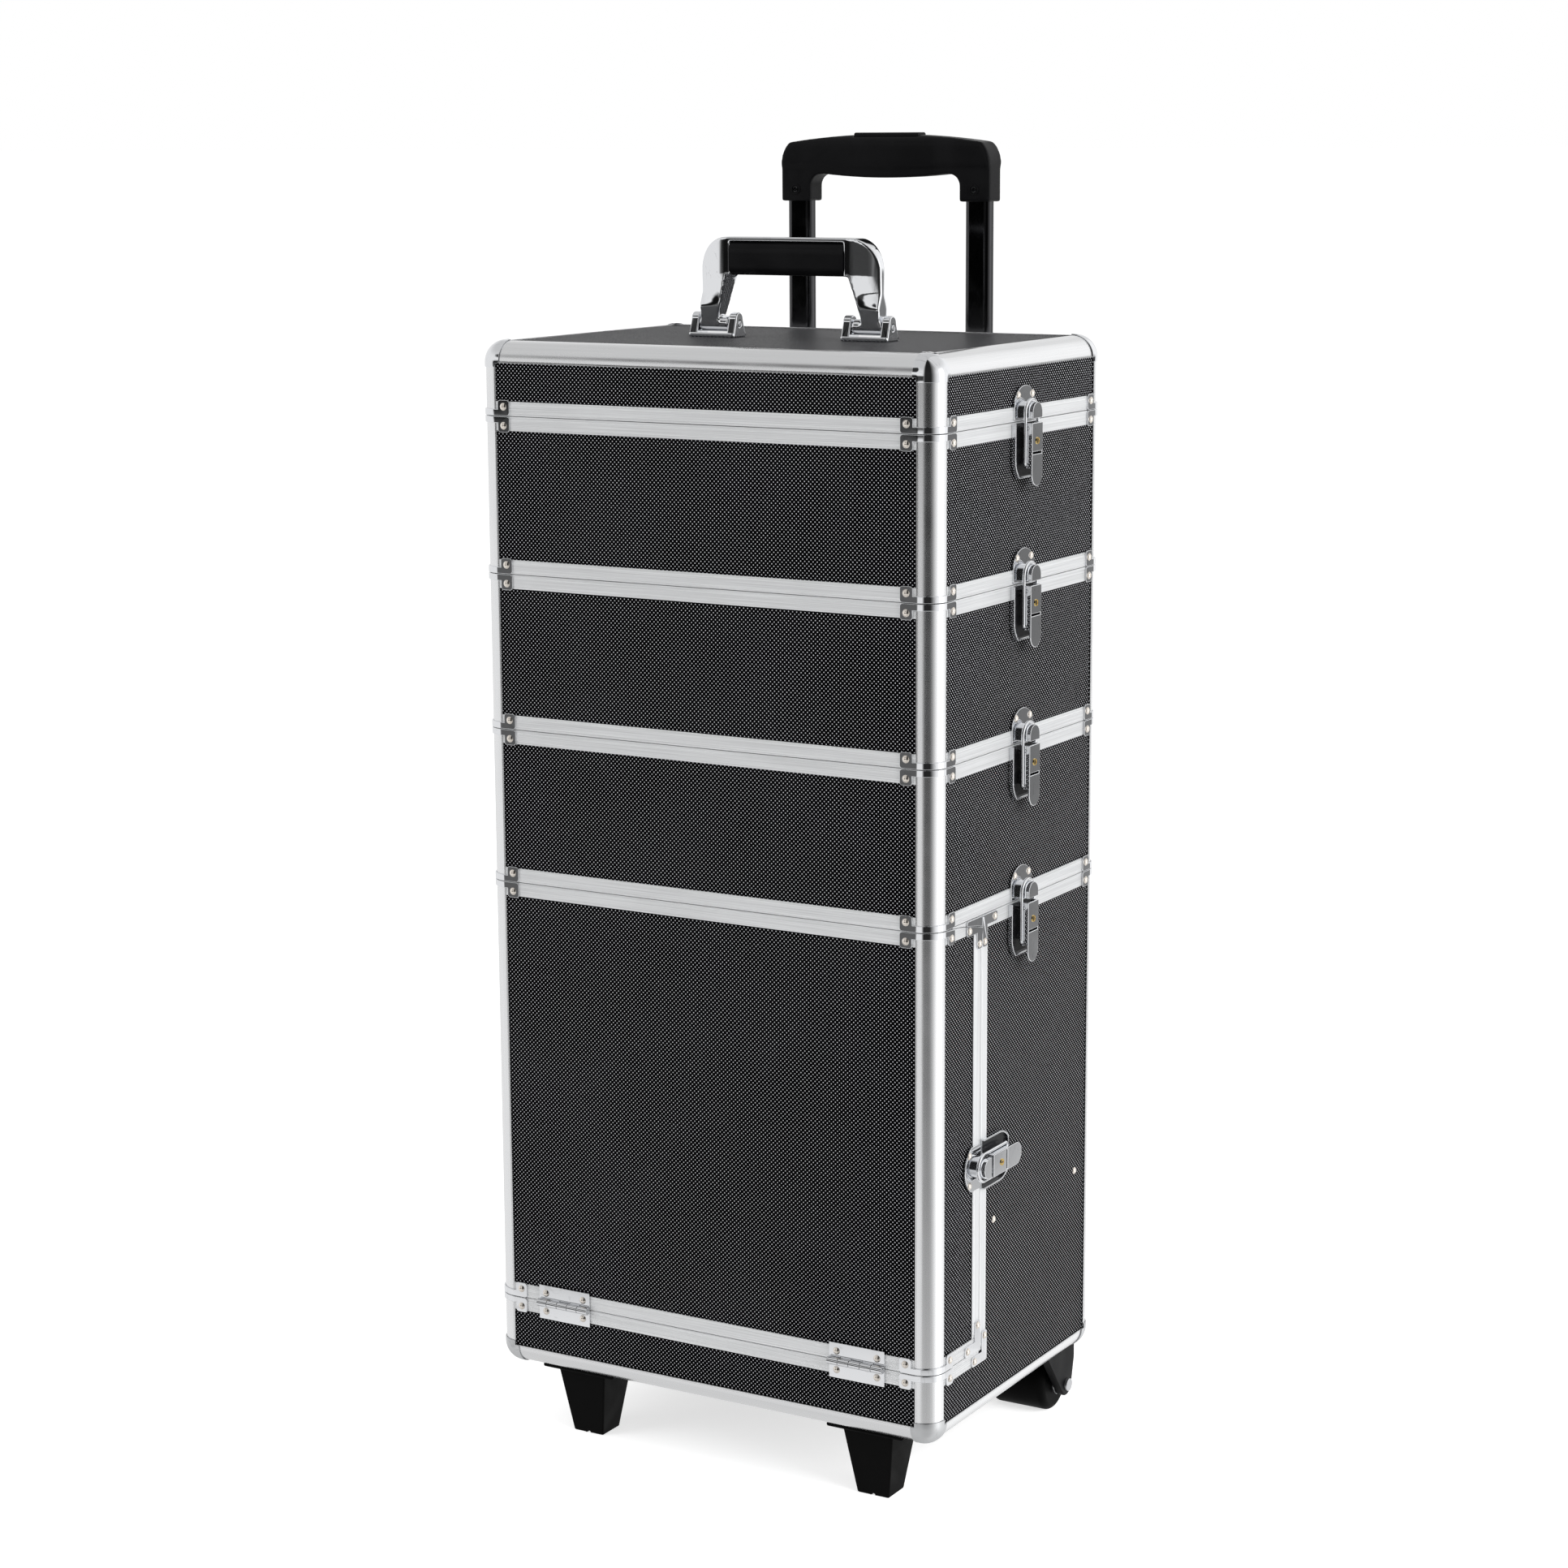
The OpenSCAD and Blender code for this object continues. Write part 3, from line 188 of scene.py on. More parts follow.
class Groups:
    """Shader groups that several finishes share, each built once."""

    @staticmethod
    def fresh(name: str, inputs: dict[str, str], outputs: Iterable[str]) -> tuple[Graph, Node]:
        """Starts a group.

        Args:
            name: the group's name.
            inputs: kinds of its inputs, Float or Vector, by name.
            outputs: names of its outputs, all plain numbers.

        Returns:
            The group's graph and its input node.
        """
        tree = bpy.data.node_groups.new(name, "ShaderNodeTree")
        for label, kind in inputs.items():
            tree.interface.new_socket(label, in_out="INPUT", socket_type=f"NodeSocket{kind}")
        for label in outputs:
            tree.interface.new_socket(label, in_out="OUTPUT", socket_type="NodeSocketFloat")
        graph = Graph(tree)
        return graph, graph.node("NodeGroupInput")

    @staticmethod
    @cache
    def dot_lattice() -> Tree:
        """Staggered round dots on a flat map in metres: a mask and a domed height."""
        inputs = {"Vector": "Vector", "Pitch X": "Float", "Pitch Y": "Float", "Radius": "Float"}
        graph, start = Groups.fresh("dot_lattice", inputs, ("Mask", "Height"))
        sides = {0: start.outputs["Pitch X"], 1: start.outputs["Pitch Y"]}
        pitch = graph.node("ShaderNodeCombineXYZ", sides).outputs[0]
        cells = graph.vector("DIVIDE", start.outputs["Vector"], pitch).outputs[0]
        reach = []
        for shift in (0.0, 0.5):
            moved = graph.vector("ADD", cells, (shift, shift, 0.0)).outputs[0]
            part = graph.vector("FRACTION", moved).outputs[0]
            centred = graph.vector("SUBTRACT", part, (0.5, 0.5, 0.0)).outputs[0]
            flat = graph.vector("MULTIPLY", centred, pitch).outputs[0]
            reach.append(graph.vector("LENGTH", flat).outputs["Value"])
        share = graph.math("DIVIDE", graph.math("MINIMUM", *reach), start.outputs["Radius"])
        graph.node("NodeGroupOutput", {"Mask": graph.span(share, 0.75, 1.15, 1.0, 0.0),
                                       "Height": graph.span(share, 0.0, 1.25, 1.0, 0.0)})
        return graph.tree

    @staticmethod
    @cache
    def drawn_lines() -> Tree:
        """Fine lines left by drawing or brushing, from a stretched noise."""
        graph, start = Groups.fresh("drawn_lines", {"Stretch": "Vector"}, ("Lines", "Cloud"))
        place = graph.node("ShaderNodeTexCoord").outputs["Object"]
        long = graph.vector("MULTIPLY", place, start.outputs["Stretch"]).outputs[0]
        graph.node("NodeGroupOutput", {"Lines": graph.noise(long, 1.0, 3.0, roughness=0.6),
                                       "Cloud": graph.noise(place, 28.0, 2.0)})
        return graph.tree

    @staticmethod
    @cache
    def handling() -> Tree:
        """Soft smudges and fine scratches from use, and an even grain."""
        graph, start = Groups.fresh("handling", {"Scale": "Float"}, ("Smudge", "Scratch", "Grain"))
        place = graph.node("ShaderNodeTexCoord").outputs["Object"]
        smudge = graph.noise(place, start.outputs["Scale"], 4.0, distortion=0.6)
        thin = graph.vector("MULTIPLY", place, (90.0, 700.0, 160.0)).outputs[0]
        scratch = graph.noise(thin, 1.0, 2.0, distortion=1.2)
        graph.node("NodeGroupOutput", {"Smudge": graph.span(smudge, 0.35, 0.7, 0.0, 1.0),
                                       "Scratch": graph.span(scratch, 0.6, 0.72, 0.0, 1.0),
                                       "Grain": graph.noise(place, 2600.0, 2.0)})
        return graph.tree


@dataclass(frozen=True)
class Finish:
    """What every finish shares: a name, its record slot and a Principled shader."""

    name: str
    slot: Slot

    def material(self) -> bpy.types.Material:
        """Returns the finish's material, made on first use."""
        found = bpy.data.materials.get(self.name)
        if found:
            return found
        made = bpy.data.materials.new(self.name)
        graph = Graph.emptied(made)
        shader = graph.node("ShaderNodeBsdfPrincipled")
        graph.node("ShaderNodeOutputMaterial", {"Surface": shader.outputs[0]})
        self.paint(graph, shader)
        return made

    def paint(self, graph: Graph, shader: Node) -> None:
        """Joins the finish's own nodes to the shader."""
        raise NotImplementedError

    @staticmethod
    def group(graph: Graph, tree: Tree, **inputs: Any) -> Node:
        """Returns a placed group with its inputs set, their names in words joined by underscores."""
        named = {key.replace("_", " ").title(): value for key, value in inputs.items()}
        return graph.node("ShaderNodeGroup", named, node_tree=tree)

    @staticmethod
    def cover(graph: Graph, shader: Node, tone: Socket, rough: Socket, bump: dict[str, Any]) -> None:
        """Joins a finish's surface to its shader.

        Args:
            graph: the material's graph.
            shader: its shader.
            tone: the colour.
            rough: the roughness.
            bump: the bump's inputs by name.
        """
        normal = graph.node("ShaderNodeBump", bump).outputs[0]
        for name, socket in (("Base Color", tone), ("Roughness", rough), ("Normal", normal)):
            graph.join(socket, shader.inputs[name])


@dataclass(frozen=True)
class DottedLaminate(Finish):
    """Black laminate with small pale raised dots, laid on the piece's own flat map."""

    pitch: tuple[float, float] = (3.0 * MM, 2.95 * MM)
    radius: float = 0.41 * MM
    ground: Colour = (0.0006, 0.0006, 0.0008)
    dot: Colour = (0.54, 0.545, 0.57)
    sheen: float = 0.015

    def paint(self, graph: Graph, shader: Node) -> None:
        """Dots over a black ground with a faint leather grain between them."""
        place = graph.node("ShaderNodeUVMap", uv_map="flat").outputs[0]
        dots = self.group(graph, Groups.dot_lattice(), vector=place, pitch_x=self.pitch[0],
                          pitch_y=self.pitch[1], radius=self.radius)
        wear = self.group(graph, Groups.handling(), scale=14.0)
        worn = tuple(3 * c for c in self.ground)
        ground = graph.mix(wear.outputs["Smudge"], (*self.ground, 1), (*worn, 1))
        tone = graph.mix(dots.outputs["Mask"], ground, (*self.dot, 1))
        rough = graph.scaled(wear.outputs["Grain"], 0.14, 0.34)
        height = graph.scaled(wear.outputs["Grain"], 0.12, dots.outputs["Height"])
        self.cover(graph, shader, tone, rough,
                   {"Height": height, "Strength": 0.5, "Distance": 0.15 * MM})
        shader.inputs["Specular IOR Level"].default_value = self.sheen


@dataclass(frozen=True)
class DrawnAluminium(Finish):
    """Aluminium profile with lines along its length."""

    axis: Axis
    tone: Colour = (0.80, 0.81, 0.82)
    roughness: float = 0.3
    lines: float = 0.25
    metal: float = 1.0
    fine: float = 1900.0
    coarse: float = 9.0

    def paint(self, graph: Graph, shader: Node) -> None:
        """Lines along the profile in tone, roughness and height."""
        stretch = [self.fine] * 3
        stretch[self.axis.value] = self.coarse
        drawn = self.group(graph, Groups.drawn_lines(), stretch=stretch)
        dark = tuple(c * (1 - self.lines) for c in self.tone)
        share = graph.span(drawn.outputs["Lines"], 0.3, 0.7, 0.0, 1.0)
        tone = graph.mix(share, (*dark, 1), (*self.tone, 1))
        rough = graph.scaled(drawn.outputs["Cloud"], 0.12, self.roughness - 0.06)
        self.cover(graph, shader, tone, rough,
                   {"Height": drawn.outputs["Lines"], "Strength": 0.12, "Distance": 0.05 * MM})
        shader.inputs["Metallic"].default_value = self.metal


@dataclass(frozen=True)
class Plated(Finish):
    """Polished or matt plated metal with light smudges and scratches."""

    tone: Colour
    roughness: float

    def paint(self, graph: Graph, shader: Node) -> None:
        """Smudges in roughness, scratches in tone and height."""
        use = self.group(graph, Groups.handling(), scale=45.0)
        dull = tuple(0.86 * c for c in self.tone)
        tone = graph.mix(use.outputs["Scratch"], (*self.tone, 1), (*dull, 1))
        rough = graph.scaled(use.outputs["Smudge"], 0.7 * self.roughness, 0.75 * self.roughness)
        self.cover(graph, shader, tone, rough,
                   {"Height": use.outputs["Scratch"], "Strength": 0.04, "Distance": 0.02 * MM})
        shader.inputs["Metallic"].default_value = 1.0


@dataclass(frozen=True)
class Moulded(Finish):
    """Black plastic, rubber or paint with a fine grain; also the black used as painted shade in recesses.
    """

    tone: Colour
    roughness: float
    grain: float
    coat: float = 0.0
    sheen: float = 0.1

    def paint(self, graph: Graph, shader: Node) -> None:
        """Grain in height, handling in tone and roughness."""
        use = self.group(graph, Groups.handling(), scale=30.0)
        worn = tuple(1.3 * c + 0.001 for c in self.tone)
        tone = graph.mix(use.outputs["Smudge"], (*self.tone, 1), (*worn, 1))
        rough = graph.scaled(use.outputs["Smudge"], 0.15, self.roughness)
        self.cover(graph, shader, tone, rough,
                   {"Height": use.outputs["Grain"], "Strength": self.grain, "Distance": 0.1 * MM})
        shader.inputs["Specular IOR Level"].default_value = self.sheen
        shader.inputs["Coat Weight"].default_value = self.coat
        shader.inputs["Coat Roughness"].default_value = 0.08


LAMINATE = DottedLaminate("dotted_laminate", Slot.LAMINATE)
LINING = Moulded("felt_lining", Slot.LAMINATE, (0.02, 0.02, 0.022), 0.85, 0.9)
# Painted light: the strips are one aluminium, but each run gets its own tone, lighter along the front and
# darker along the sides, for how light falls on it.
STRIP_PAINTED_LIGHT_TONES = {Axis.X: (0.88, 0.89, 0.9), Axis.Y: (0.78, 0.79, 0.8), Axis.Z: (0.84, 0.85, 0.86)}
STRIPS = {a: DrawnAluminium(f"brushed_strip_{a.name.lower()}", Slot.SATIN, a, tone, 0.4, 0.2, 0.5)
          for a, tone in STRIP_PAINTED_LIGHT_TONES.items()}
PROFILE_TONE = (0.9, 0.905, 0.915)
PROFILES = {a: DrawnAluminium(f"satin_profile_{a.name.lower()}", Slot.SATIN, a, PROFILE_TONE, 0.24, 0.05)
            for a in Axis}
CHROME = Plated("bright_chrome", Slot.CHROME, (0.84, 0.85, 0.87), 0.05)
NICKEL = Plated("warm_rivet", Slot.CHROME, (0.86, 0.80, 0.73), 0.2)
BRASS = Plated("lock_brass", Slot.CHROME, (0.86, 0.63, 0.24), 0.18)
MATT = Plated("matt_corner", Slot.MATT, (0.70, 0.71, 0.72), 0.42)
STEEL = Plated("zinc_steel", Slot.STEEL, (0.68, 0.69, 0.71), 0.28)
PLASTIC = Moulded("grip_plastic", Slot.PLASTIC, (0.004, 0.004, 0.0045), 0.36, 0.2)
RUBBER = Moulded("foot_rubber", Slot.RUBBER, (0.002, 0.002, 0.002), 0.5, 0.3, sheen=0.05)
GLOSS = Plated("black_anodised", Slot.TUBE, (0.06, 0.06, 0.063), 0.14)
# Painted shade: a black that stands in for the shade in the latch pans, the key slots and the screws' cross
# recesses.
SHADOW = Moulded("painted_shade_black", Slot.CHROME, (0.006, 0.006, 0.007), 0.2, 0.05, 0.3)


def put(name: str, data: Any) -> Piece:
    """Returns a new object in the scene, made of a mesh, a camera or a lamp."""
    made = bpy.data.objects.new(name, data)
    bpy.context.scene.collection.objects.link(made)
    return made


class Solid:
    """A working mesh with the steps that every finished copy goes through."""

    def __init__(self, mesh: BMesh) -> None:
        """Keeps the mesh and starts with no finishes."""
        self.mesh = mesh
        self.finishes: list[Finish] = []

    @classmethod
    def of_node(cls, node: str) -> "Solid":
        """Returns a merged copy of a CAD node."""
        mesh = bmesh.new()
        mesh.from_mesh(frame["nodes"][node].data)
        bmesh.ops.remove_doubles(mesh, verts=mesh.verts[:], dist=0.003 * MM)
        bmesh.ops.dissolve_limit(mesh, angle_limit=0.3 * DEGREE, verts=mesh.verts[:], edges=mesh.edges[:])
        return cls(mesh)

    def number(self, finish: Finish) -> int:
        """Returns the material number of a finish on this piece."""
        if finish not in self.finishes:
            self.finishes.append(finish)
        return self.finishes.index(finish)

    def islands(self) -> Iterator[list[Face]]:
        """Yields the faces of each separate solid, in the mesh's order."""
        seen: set[Face] = set()
        for seed in list(self.mesh.faces):
            if seed in seen:
                continue
            seen.add(seed)
            found, edge = [seed], [seed]
            while edge:
                face = edge.pop()
                for side in face.edges:
                    for other in side.link_faces:
                        if other not in seen:
                            seen.add(other)
                            found.append(other)
                            edge.append(other)
            yield found

    def soften(self, width: float, segments: int = 2,
               keep: Callable[[Edge], bool] | None = None, angle: float = 35.0) -> None:
        """Rounds the sharp outer edges.

        Args:
            width: distance of the rounding from the edge.
            segments: steps across the rounding.
            keep: edges to take, all sharp ones if none is given.
            angle: least angle between the faces of a sharp edge, in degrees.
        """
        least = math.radians(angle)
        sharp = [e for e in self.mesh.edges if e.is_manifold and e.is_convex
                 and e.calc_face_angle() > least and (keep is None or keep(e))]
        bmesh.ops.bevel(self.mesh, geom=sharp, offset=width, offset_type="OFFSET", segments=segments,
                        profile=0.5, affect="EDGES", clamp_overlap=False, material=-1)

    def cut(self, point: Vector, way: Vector) -> None:
        """Cuts every face that crosses the plane through a point, square to a way."""
        geom = [*self.mesh.verts, *self.mesh.edges, *self.mesh.faces]
        bmesh.ops.bisect_plane(self.mesh, geom=geom, dist=1e-6, plane_co=point, plane_no=way)

    def lay_flat_map(self) -> None:
        """Gives each face a flat map in metres, seen along its own axis."""
        layer = self.mesh.loops.layers.uv.get("flat") or self.mesh.loops.layers.uv.new("flat")
        for face in self.mesh.faces:
            way = max(range(3), key=lambda i: abs(face.normal[i]))
            across, up = ((1, 2), (0, 2), (0, 1))[way]
            for loop in face.loops:
                loop[layer].uv = (loop.vert.co[across], loop.vert.co[up])

    def paint(self, finish: Finish, faces: Iterable[Face] | None = None) -> None:
        """Gives faces, or the whole piece, a finish."""
        number = self.number(finish)
        for face in self.mesh.faces if faces is None else faces:
            face.material_index = number

    def finish(self, name: str, body: str, smooth: float = 30.0,
               stands_for: str | None = None) -> Piece:
        """Makes the object, dresses it and lets it ride.

        Args:
            name: the piece's name.
            body: the body that it rides on.
            smooth: edges flatter than this many degrees are shaded smooth.
            stands_for: the CAD node that it replaces.

        Returns:
            The finished object.
        """
        self.lay_flat_map()
        data = bpy.data.meshes.new(name)
        self.mesh.to_mesh(data)
        self.mesh.free()
        stale = data.attributes.get("custom_normal")
        if stale:
            data.attributes.remove(stale)
        data.polygons.foreach_set("use_smooth", [True] * len(data.polygons))
        data.set_sharp_from_angle(angle=math.radians(smooth))
        for finish in self.finishes:
            data.materials.append(finish.material())
        piece = put(name, data)
        weighted = piece.modifiers.new("even_shading", "WEIGHTED_NORMAL")
        weighted.keep_sharp = True
        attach(piece, body)
        if stands_for:
            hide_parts(stands_for)
        LOG.info("%s rides on %s", name, body)
        return piece

    def replace(self, node: str, smooth: float = 30.0) -> Piece:
        """Returns the finished object in place of a CAD node."""
        return self.finish(f"{node}.dressed", body_of(node), smooth, node)


def extent(faces: Iterable[Face]) -> tuple[Vector, Vector]:
    """Returns the lowest and highest corner of some faces."""
    points = [v.co for f in faces for v in f.verts]
    low = Vector([min(p[i] for p in points) for i in range(3)])
    high = Vector([max(p[i] for p in points) for i in range(3)])
    return low, high


def inset(mesh: BMesh, face: Face, *steps: tuple[float, float]) -> None:
    """Insets a face step by step, each with a width and a rise."""
    for width, rise in steps:
        bmesh.ops.inset_region(mesh, faces=[face], thickness=width, depth=rise)


def body_of(node: str) -> str:
    """Returns the body that a CAD node rides on."""
    return frame["nodes"][node]["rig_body"]


@dataclass
class Shell:
    """The panels, profiles and fittings of one stacked box: the lid, a tier, the door or the base."""

    name: str
    edge: float = 0.25 * MM
    fitting_edge: float = 0.35 * MM
    rib_rise: float = 0.22 * MM
    rib_edge: float = 0.3 * MM
    rib_inset: float = 1.9 * MM
    rib_least: float = 6.0 * MM
    strip_h: float = 9.4 * MM
    strip_most: float = 9.0 * MM
    plate_l: float = 21.0 * MM
    plate_most: float = 2.0 * MM
    crease_rise: float = 0.6 * MM
    pan_size: float = 30.0 * MM
    pan_most: float = 9.5 * MM
    pan_floor_from: float = 0.9 * MM
    pan_floor_to: float = 1.6 * MM

    def build(self) -> None:
        """Builds and dresses the box's nodes."""
        self.panels()
        self.frame()
        self.fittings()

    def panels(self) -> None:
        """Laminate outside and felt inside."""
        node = f"{self.name}_panels"
        solid = Solid.of_node(node)
        solid.paint(LAMINATE)
        centre = self.centre()
        for faces in solid.islands():
            low, high = extent(faces)
            middle = (low + high) / 2
            thin = min(range(3), key=lambda i: high[i] - low[i])
            out = 1 if middle[thin] >= centre[thin] else -1
            floor = thin == 2 and self.name.startswith("tier")
            solid.paint(LINING, [f for f in faces if floor or f.normal[thin] * out < -0.5])
        solid.replace(node)

    def centre(self) -> Vector:
        """Returns the middle of the whole case, at the height of this box."""
        low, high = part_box(f"{self.name}_panels")
        deep_low, deep_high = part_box("base_panels")
        middle = (deep_low + deep_high) / 2
        return Vector((0.0, middle.y, (low.z + high.z) / 2))

    def frame(self) -> None:
        """Posts and edges in satin aluminium, mouth strips ribbed and brushed, with painted light in each
        run's strip tone.
        """
        node = f"{self.name}_frame"
        solid = Solid.of_node(node)
        self.part_spurs(solid)
        for faces in list(solid.islands()):
            low, high = extent(faces)
            size = high - low
            way = Axis(max(range(3), key=lambda i: size[i]))
            strip = min(size) < self.strip_most
            solid.paint((STRIPS if strip else PROFILES)[way], faces)
            if strip:
                self.rib(solid, faces, way)
        solid.soften(self.edge)
        solid.replace(node)

    def part_spurs(self, solid: Solid) -> None:
        """Cuts the faces of a side strip that has a spur along the strip's own lower edge."""
        for faces in list(solid.islands()):
            low, high = extent(faces)
            size = high - low
            if size.x < self.strip_most and size.y > size.z > self.strip_h + MM:
                edges = dict.fromkeys(e for f in faces for e in f.edges)
                verts = dict.fromkeys(v for f in faces for v in f.verts)
                bmesh.ops.bisect_plane(solid.mesh, geom=[*faces, *edges, *verts], dist=1e-7,
                                       plane_co=(0, 0, high.z - self.strip_h), plane_no=(0, 0, 1))

    @staticmethod
    def oblong(face: Face) -> bool:
        """Tells whether a face fills the rectangle around it."""
        low, high = extent([face])
        sides = sorted(high - low)
        return face.calc_area() > OBLONG_SHARE * sides[1] * sides[2]

    def rib(self, solid: Solid, faces: list[Face], way: Axis) -> None:
        """Raises a shallow band along a strip's outer face.

        Args:
            solid: the piece.
            faces: one strip's faces.
            way: the way the strip runs.
        """
        centre = self.centre()
        best, furthest = None, 0.0
        for face in faces:
            side = max(range(3), key=lambda i: abs(face.normal[i]))
            upright = side not in (2, way.value) and abs(face.normal[side]) >= 0.999
            if not upright or not self.oblong(face):
                continue
            out = (face.calc_center_median()[side] - centre[side]) * math.copysign(1, face.normal[side])
            level = best is not None and abs(out - furthest) < 1e-6
            if best is None or out > furthest + 1e-6 or (level and face.calc_area() > best.calc_area()):
                best, furthest = face, out
        if best is None:
            return
        low, high = extent([best])
        if sorted(high - low)[1] < self.rib_least:
            return
        for thickness, depth in ((self.rib_inset, 0.0), (self.rib_edge, self.rib_rise)):
            bmesh.ops.inset_region(solid.mesh, faces=[best], thickness=thickness, depth=depth,
                                   use_even_offset=True)

    def fittings(self) -> None:
        """Chrome clips and latch plates, warm rivet heads, and painted shade on the latch pans' floor and
        inner rim.
        """
        node = f"{self.name}_fittings"
        solid = Solid.of_node(node)
        solid.paint(CHROME)
        for faces in list(solid.islands()):
            self.crease(solid, faces)
        rivets: set[Edge] = set()
        for faces in solid.islands():
            low, high = extent(faces)
            size = high - low
            if max(size) < RIVET_SIZE:
                solid.paint(NICKEL, faces)
                rivets.update(e for f in faces for e in f.edges)
            elif max(size) > self.pan_size and size.x < self.pan_most:
                # Painted shade: the chrome pan's floor and inner rim are coloured black where shade falls
                # inside the pan.
                solid.paint(SHADOW, self.pan_floor(faces, low, high))
        solid.soften(self.fitting_edge, 3, keep=lambda e: e not in rivets)
        solid.replace(node)

    def crease(self, solid: Solid, faces: list[Face]) -> None:
        """Folds an angle plate's outer face along the line from its inner corner to its outer one.

        Args:
            solid: the piece.
            faces: one solid's faces; anything but an angle plate is left as it is.
        """
        low, high = extent(faces)
        size = high - low
        short = min(size.y, size.z) < 0.6 * self.plate_l
        if size.x > self.plate_most or short or max(size) > 1.1 * self.plate_l:
            return
        side = 1 if low.x > 0 else -1
        outer = max(faces, key=lambda f: (f.normal.x * side > 0.99, f.calc_center_median().x * side))
        if outer.calc_area() > 0.9 * size.y * size.z:
            return
        inner = min(outer.verts, key=lambda v: self.turning(outer, v))
        if self.turning(outer, inner) > -0.5:
            return
        way = self.into_plate(outer, inner)
        corner = max(outer.verts, key=lambda v: (v.co - inner.co).dot(way))
        if bmesh.ops.connect_verts(solid.mesh, verts=[inner, corner])["edges"]:
            corner.co.x += side * self.crease_rise

    @staticmethod
    def turning(face: Face, vert: Vert) -> float:
        """Returns how sharply a face's outline turns at a vertex: below 0 where it turns inwards."""
        loop = next(l for l in face.loops if l.vert == vert)
        before = (vert.co - loop.link_loop_prev.vert.co).normalized()
        after = (loop.link_loop_next.vert.co - vert.co).normalized()
        return before.cross(after).dot(face.normal)

    @staticmethod
    def into_plate(face: Face, vert: Vert) -> Vector:
        """Returns the way from a plate's inner corner towards its outer one."""
        loop = next(l for l in face.loops if l.vert == vert)
        ahead = (loop.link_loop_next.vert.co - vert.co).normalized()
        back = (loop.link_loop_prev.vert.co - vert.co).normalized()
        return -(ahead + back).normalized()

    def pan_floor(self, faces: list[Face], low: Vector, high: Vector) -> list[Face]:
        """Returns a latch pan's floor and inner rim, which get painted shade."""
        right = low.x > 0
        wall = low.x if right else high.x
        return [f for f in faces
                if self.pan_floor_from < abs(f.calc_center_median().x - wall) < self.pan_floor_to
                and abs(f.normal.x) > 0.9 and (f.normal.x > 0) == right]


@dataclass
class Latch:
    """One draw latch: a lever with a key lock and a wire bail."""

    name: str
    side: str
    edge: float = 0.45 * MM
    lock_r: float = 2.3 * MM
    lock_rise: float = 0.5 * MM
    lock_drop: float = 11.5 * MM
    lock_root: float = 0.2 * MM
    lock_rim: float = 0.45 * MM
    lock_step: float = 0.15 * MM
    lock_dish: float = 0.2 * MM
    slot_t: float = 0.1 * MM
    slot_w: float = 0.7 * MM
    slot_l: float = 2.6 * MM
    slot_sink: float = 0.16 * MM

    def build(self) -> None:
        """Builds the lever, the bail and the lock."""
        for kind in ("lever", "bail"):
            node = f"{kind}_{self.name}_{self.side}"
            solid = Solid.of_node(node)
            solid.paint(CHROME)
            if kind == "lever":
                solid.soften(self.edge, 3)
            solid.replace(node)
        self.lock()

    def place(self) -> Matrix:
        """Returns the latch's frame: X out of the case, Z to the strike, origin on the lever's top edge."""
        low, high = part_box(f"lever_{self.name}_{self.side}")
        right = self.side == "right"
        out = Vector((1 if right else -1, 0, 0))
        along = Vector((0, -1, 0)) if self.name == "door" else Vector((0, 0, 1))
        across = along.cross(out)
        middle = (low + high) / 2
        face = high.x if right else low.x
        if self.name == "door":
            origin = Vector((face, low.y, middle.z))
        else:
            origin = Vector((face, middle.y, high.z))
        turn = Matrix((out, across, along)).transposed().to_4x4()
        return Matrix.Translation(origin) @ turn

    def lock(self) -> None:
        """A brass cylinder with a stepped rim and a key slot, the slot coloured black as painted shade."""
        solid = Solid(bmesh.new())
        mesh = solid.mesh
        up = Matrix.Rotation(90 * DEGREE, 4, "Y")
        bmesh.ops.create_circle(mesh, cap_ends=True, segments=32, radius=self.lock_r,
                                matrix=Matrix.Translation((-self.lock_root, 0, 0)) @ up)
        face = mesh.faces[:][0]
        if face.normal.x < 0:
            bmesh.ops.reverse_faces(mesh, faces=[face])
        bmesh.ops.solidify(mesh, geom=[face], thickness=-(self.lock_rise + self.lock_root))
        bmesh.ops.recalc_face_normals(mesh, faces=mesh.faces[:])
        top = max(mesh.faces, key=lambda f: f.calc_center_median().x)
        inset(mesh, top, (self.lock_rim, 0.0), (self.lock_step, -self.lock_dish))
        solid.paint(BRASS)
        before = set(mesh.faces)
        slot = Matrix.Diagonal((self.slot_t, self.slot_w, self.slot_l, 1))
        sunk = Matrix.Translation((self.lock_rise - self.slot_sink, 0, 0))
        bmesh.ops.create_cube(mesh, size=1.0, matrix=sunk @ slot)
        # Painted shade: the sunk key slot is coloured black for the dark inside the keyhole.
        solid.paint(SHADOW, [f for f in mesh.faces if f not in before])
        place = self.place() @ Matrix.Translation((0, 0, -self.lock_drop))
        bmesh.ops.transform(mesh, matrix=place, verts=mesh.verts[:])
        solid.finish(f"lock_{self.name}_{self.side}", body_of(f"lever_{self.name}_{self.side}"))


@dataclass
class PlainNode:
    """A CAD node that keeps its shape and gets soft edges and a finish."""

    node: str
    coat: Finish
    edge: float
    steps: int = 2
    rivets: bool = False

    def build(self) -> None:
        """Builds the piece; rivet heads get their own finish."""
        solid = Solid.of_node(self.node)
        solid.paint(self.coat)
        small: set[Edge] = set()
        if self.rivets:
            for faces in solid.islands():
                low, high = extent(faces)
                if max(high - low) < RIVET_SIZE:
                    solid.paint(NICKEL, faces)
                    small.update(e for f in faces for e in f.edges)
        solid.soften(self.edge, self.steps, keep=lambda e: e not in small)
        solid.replace(self.node)


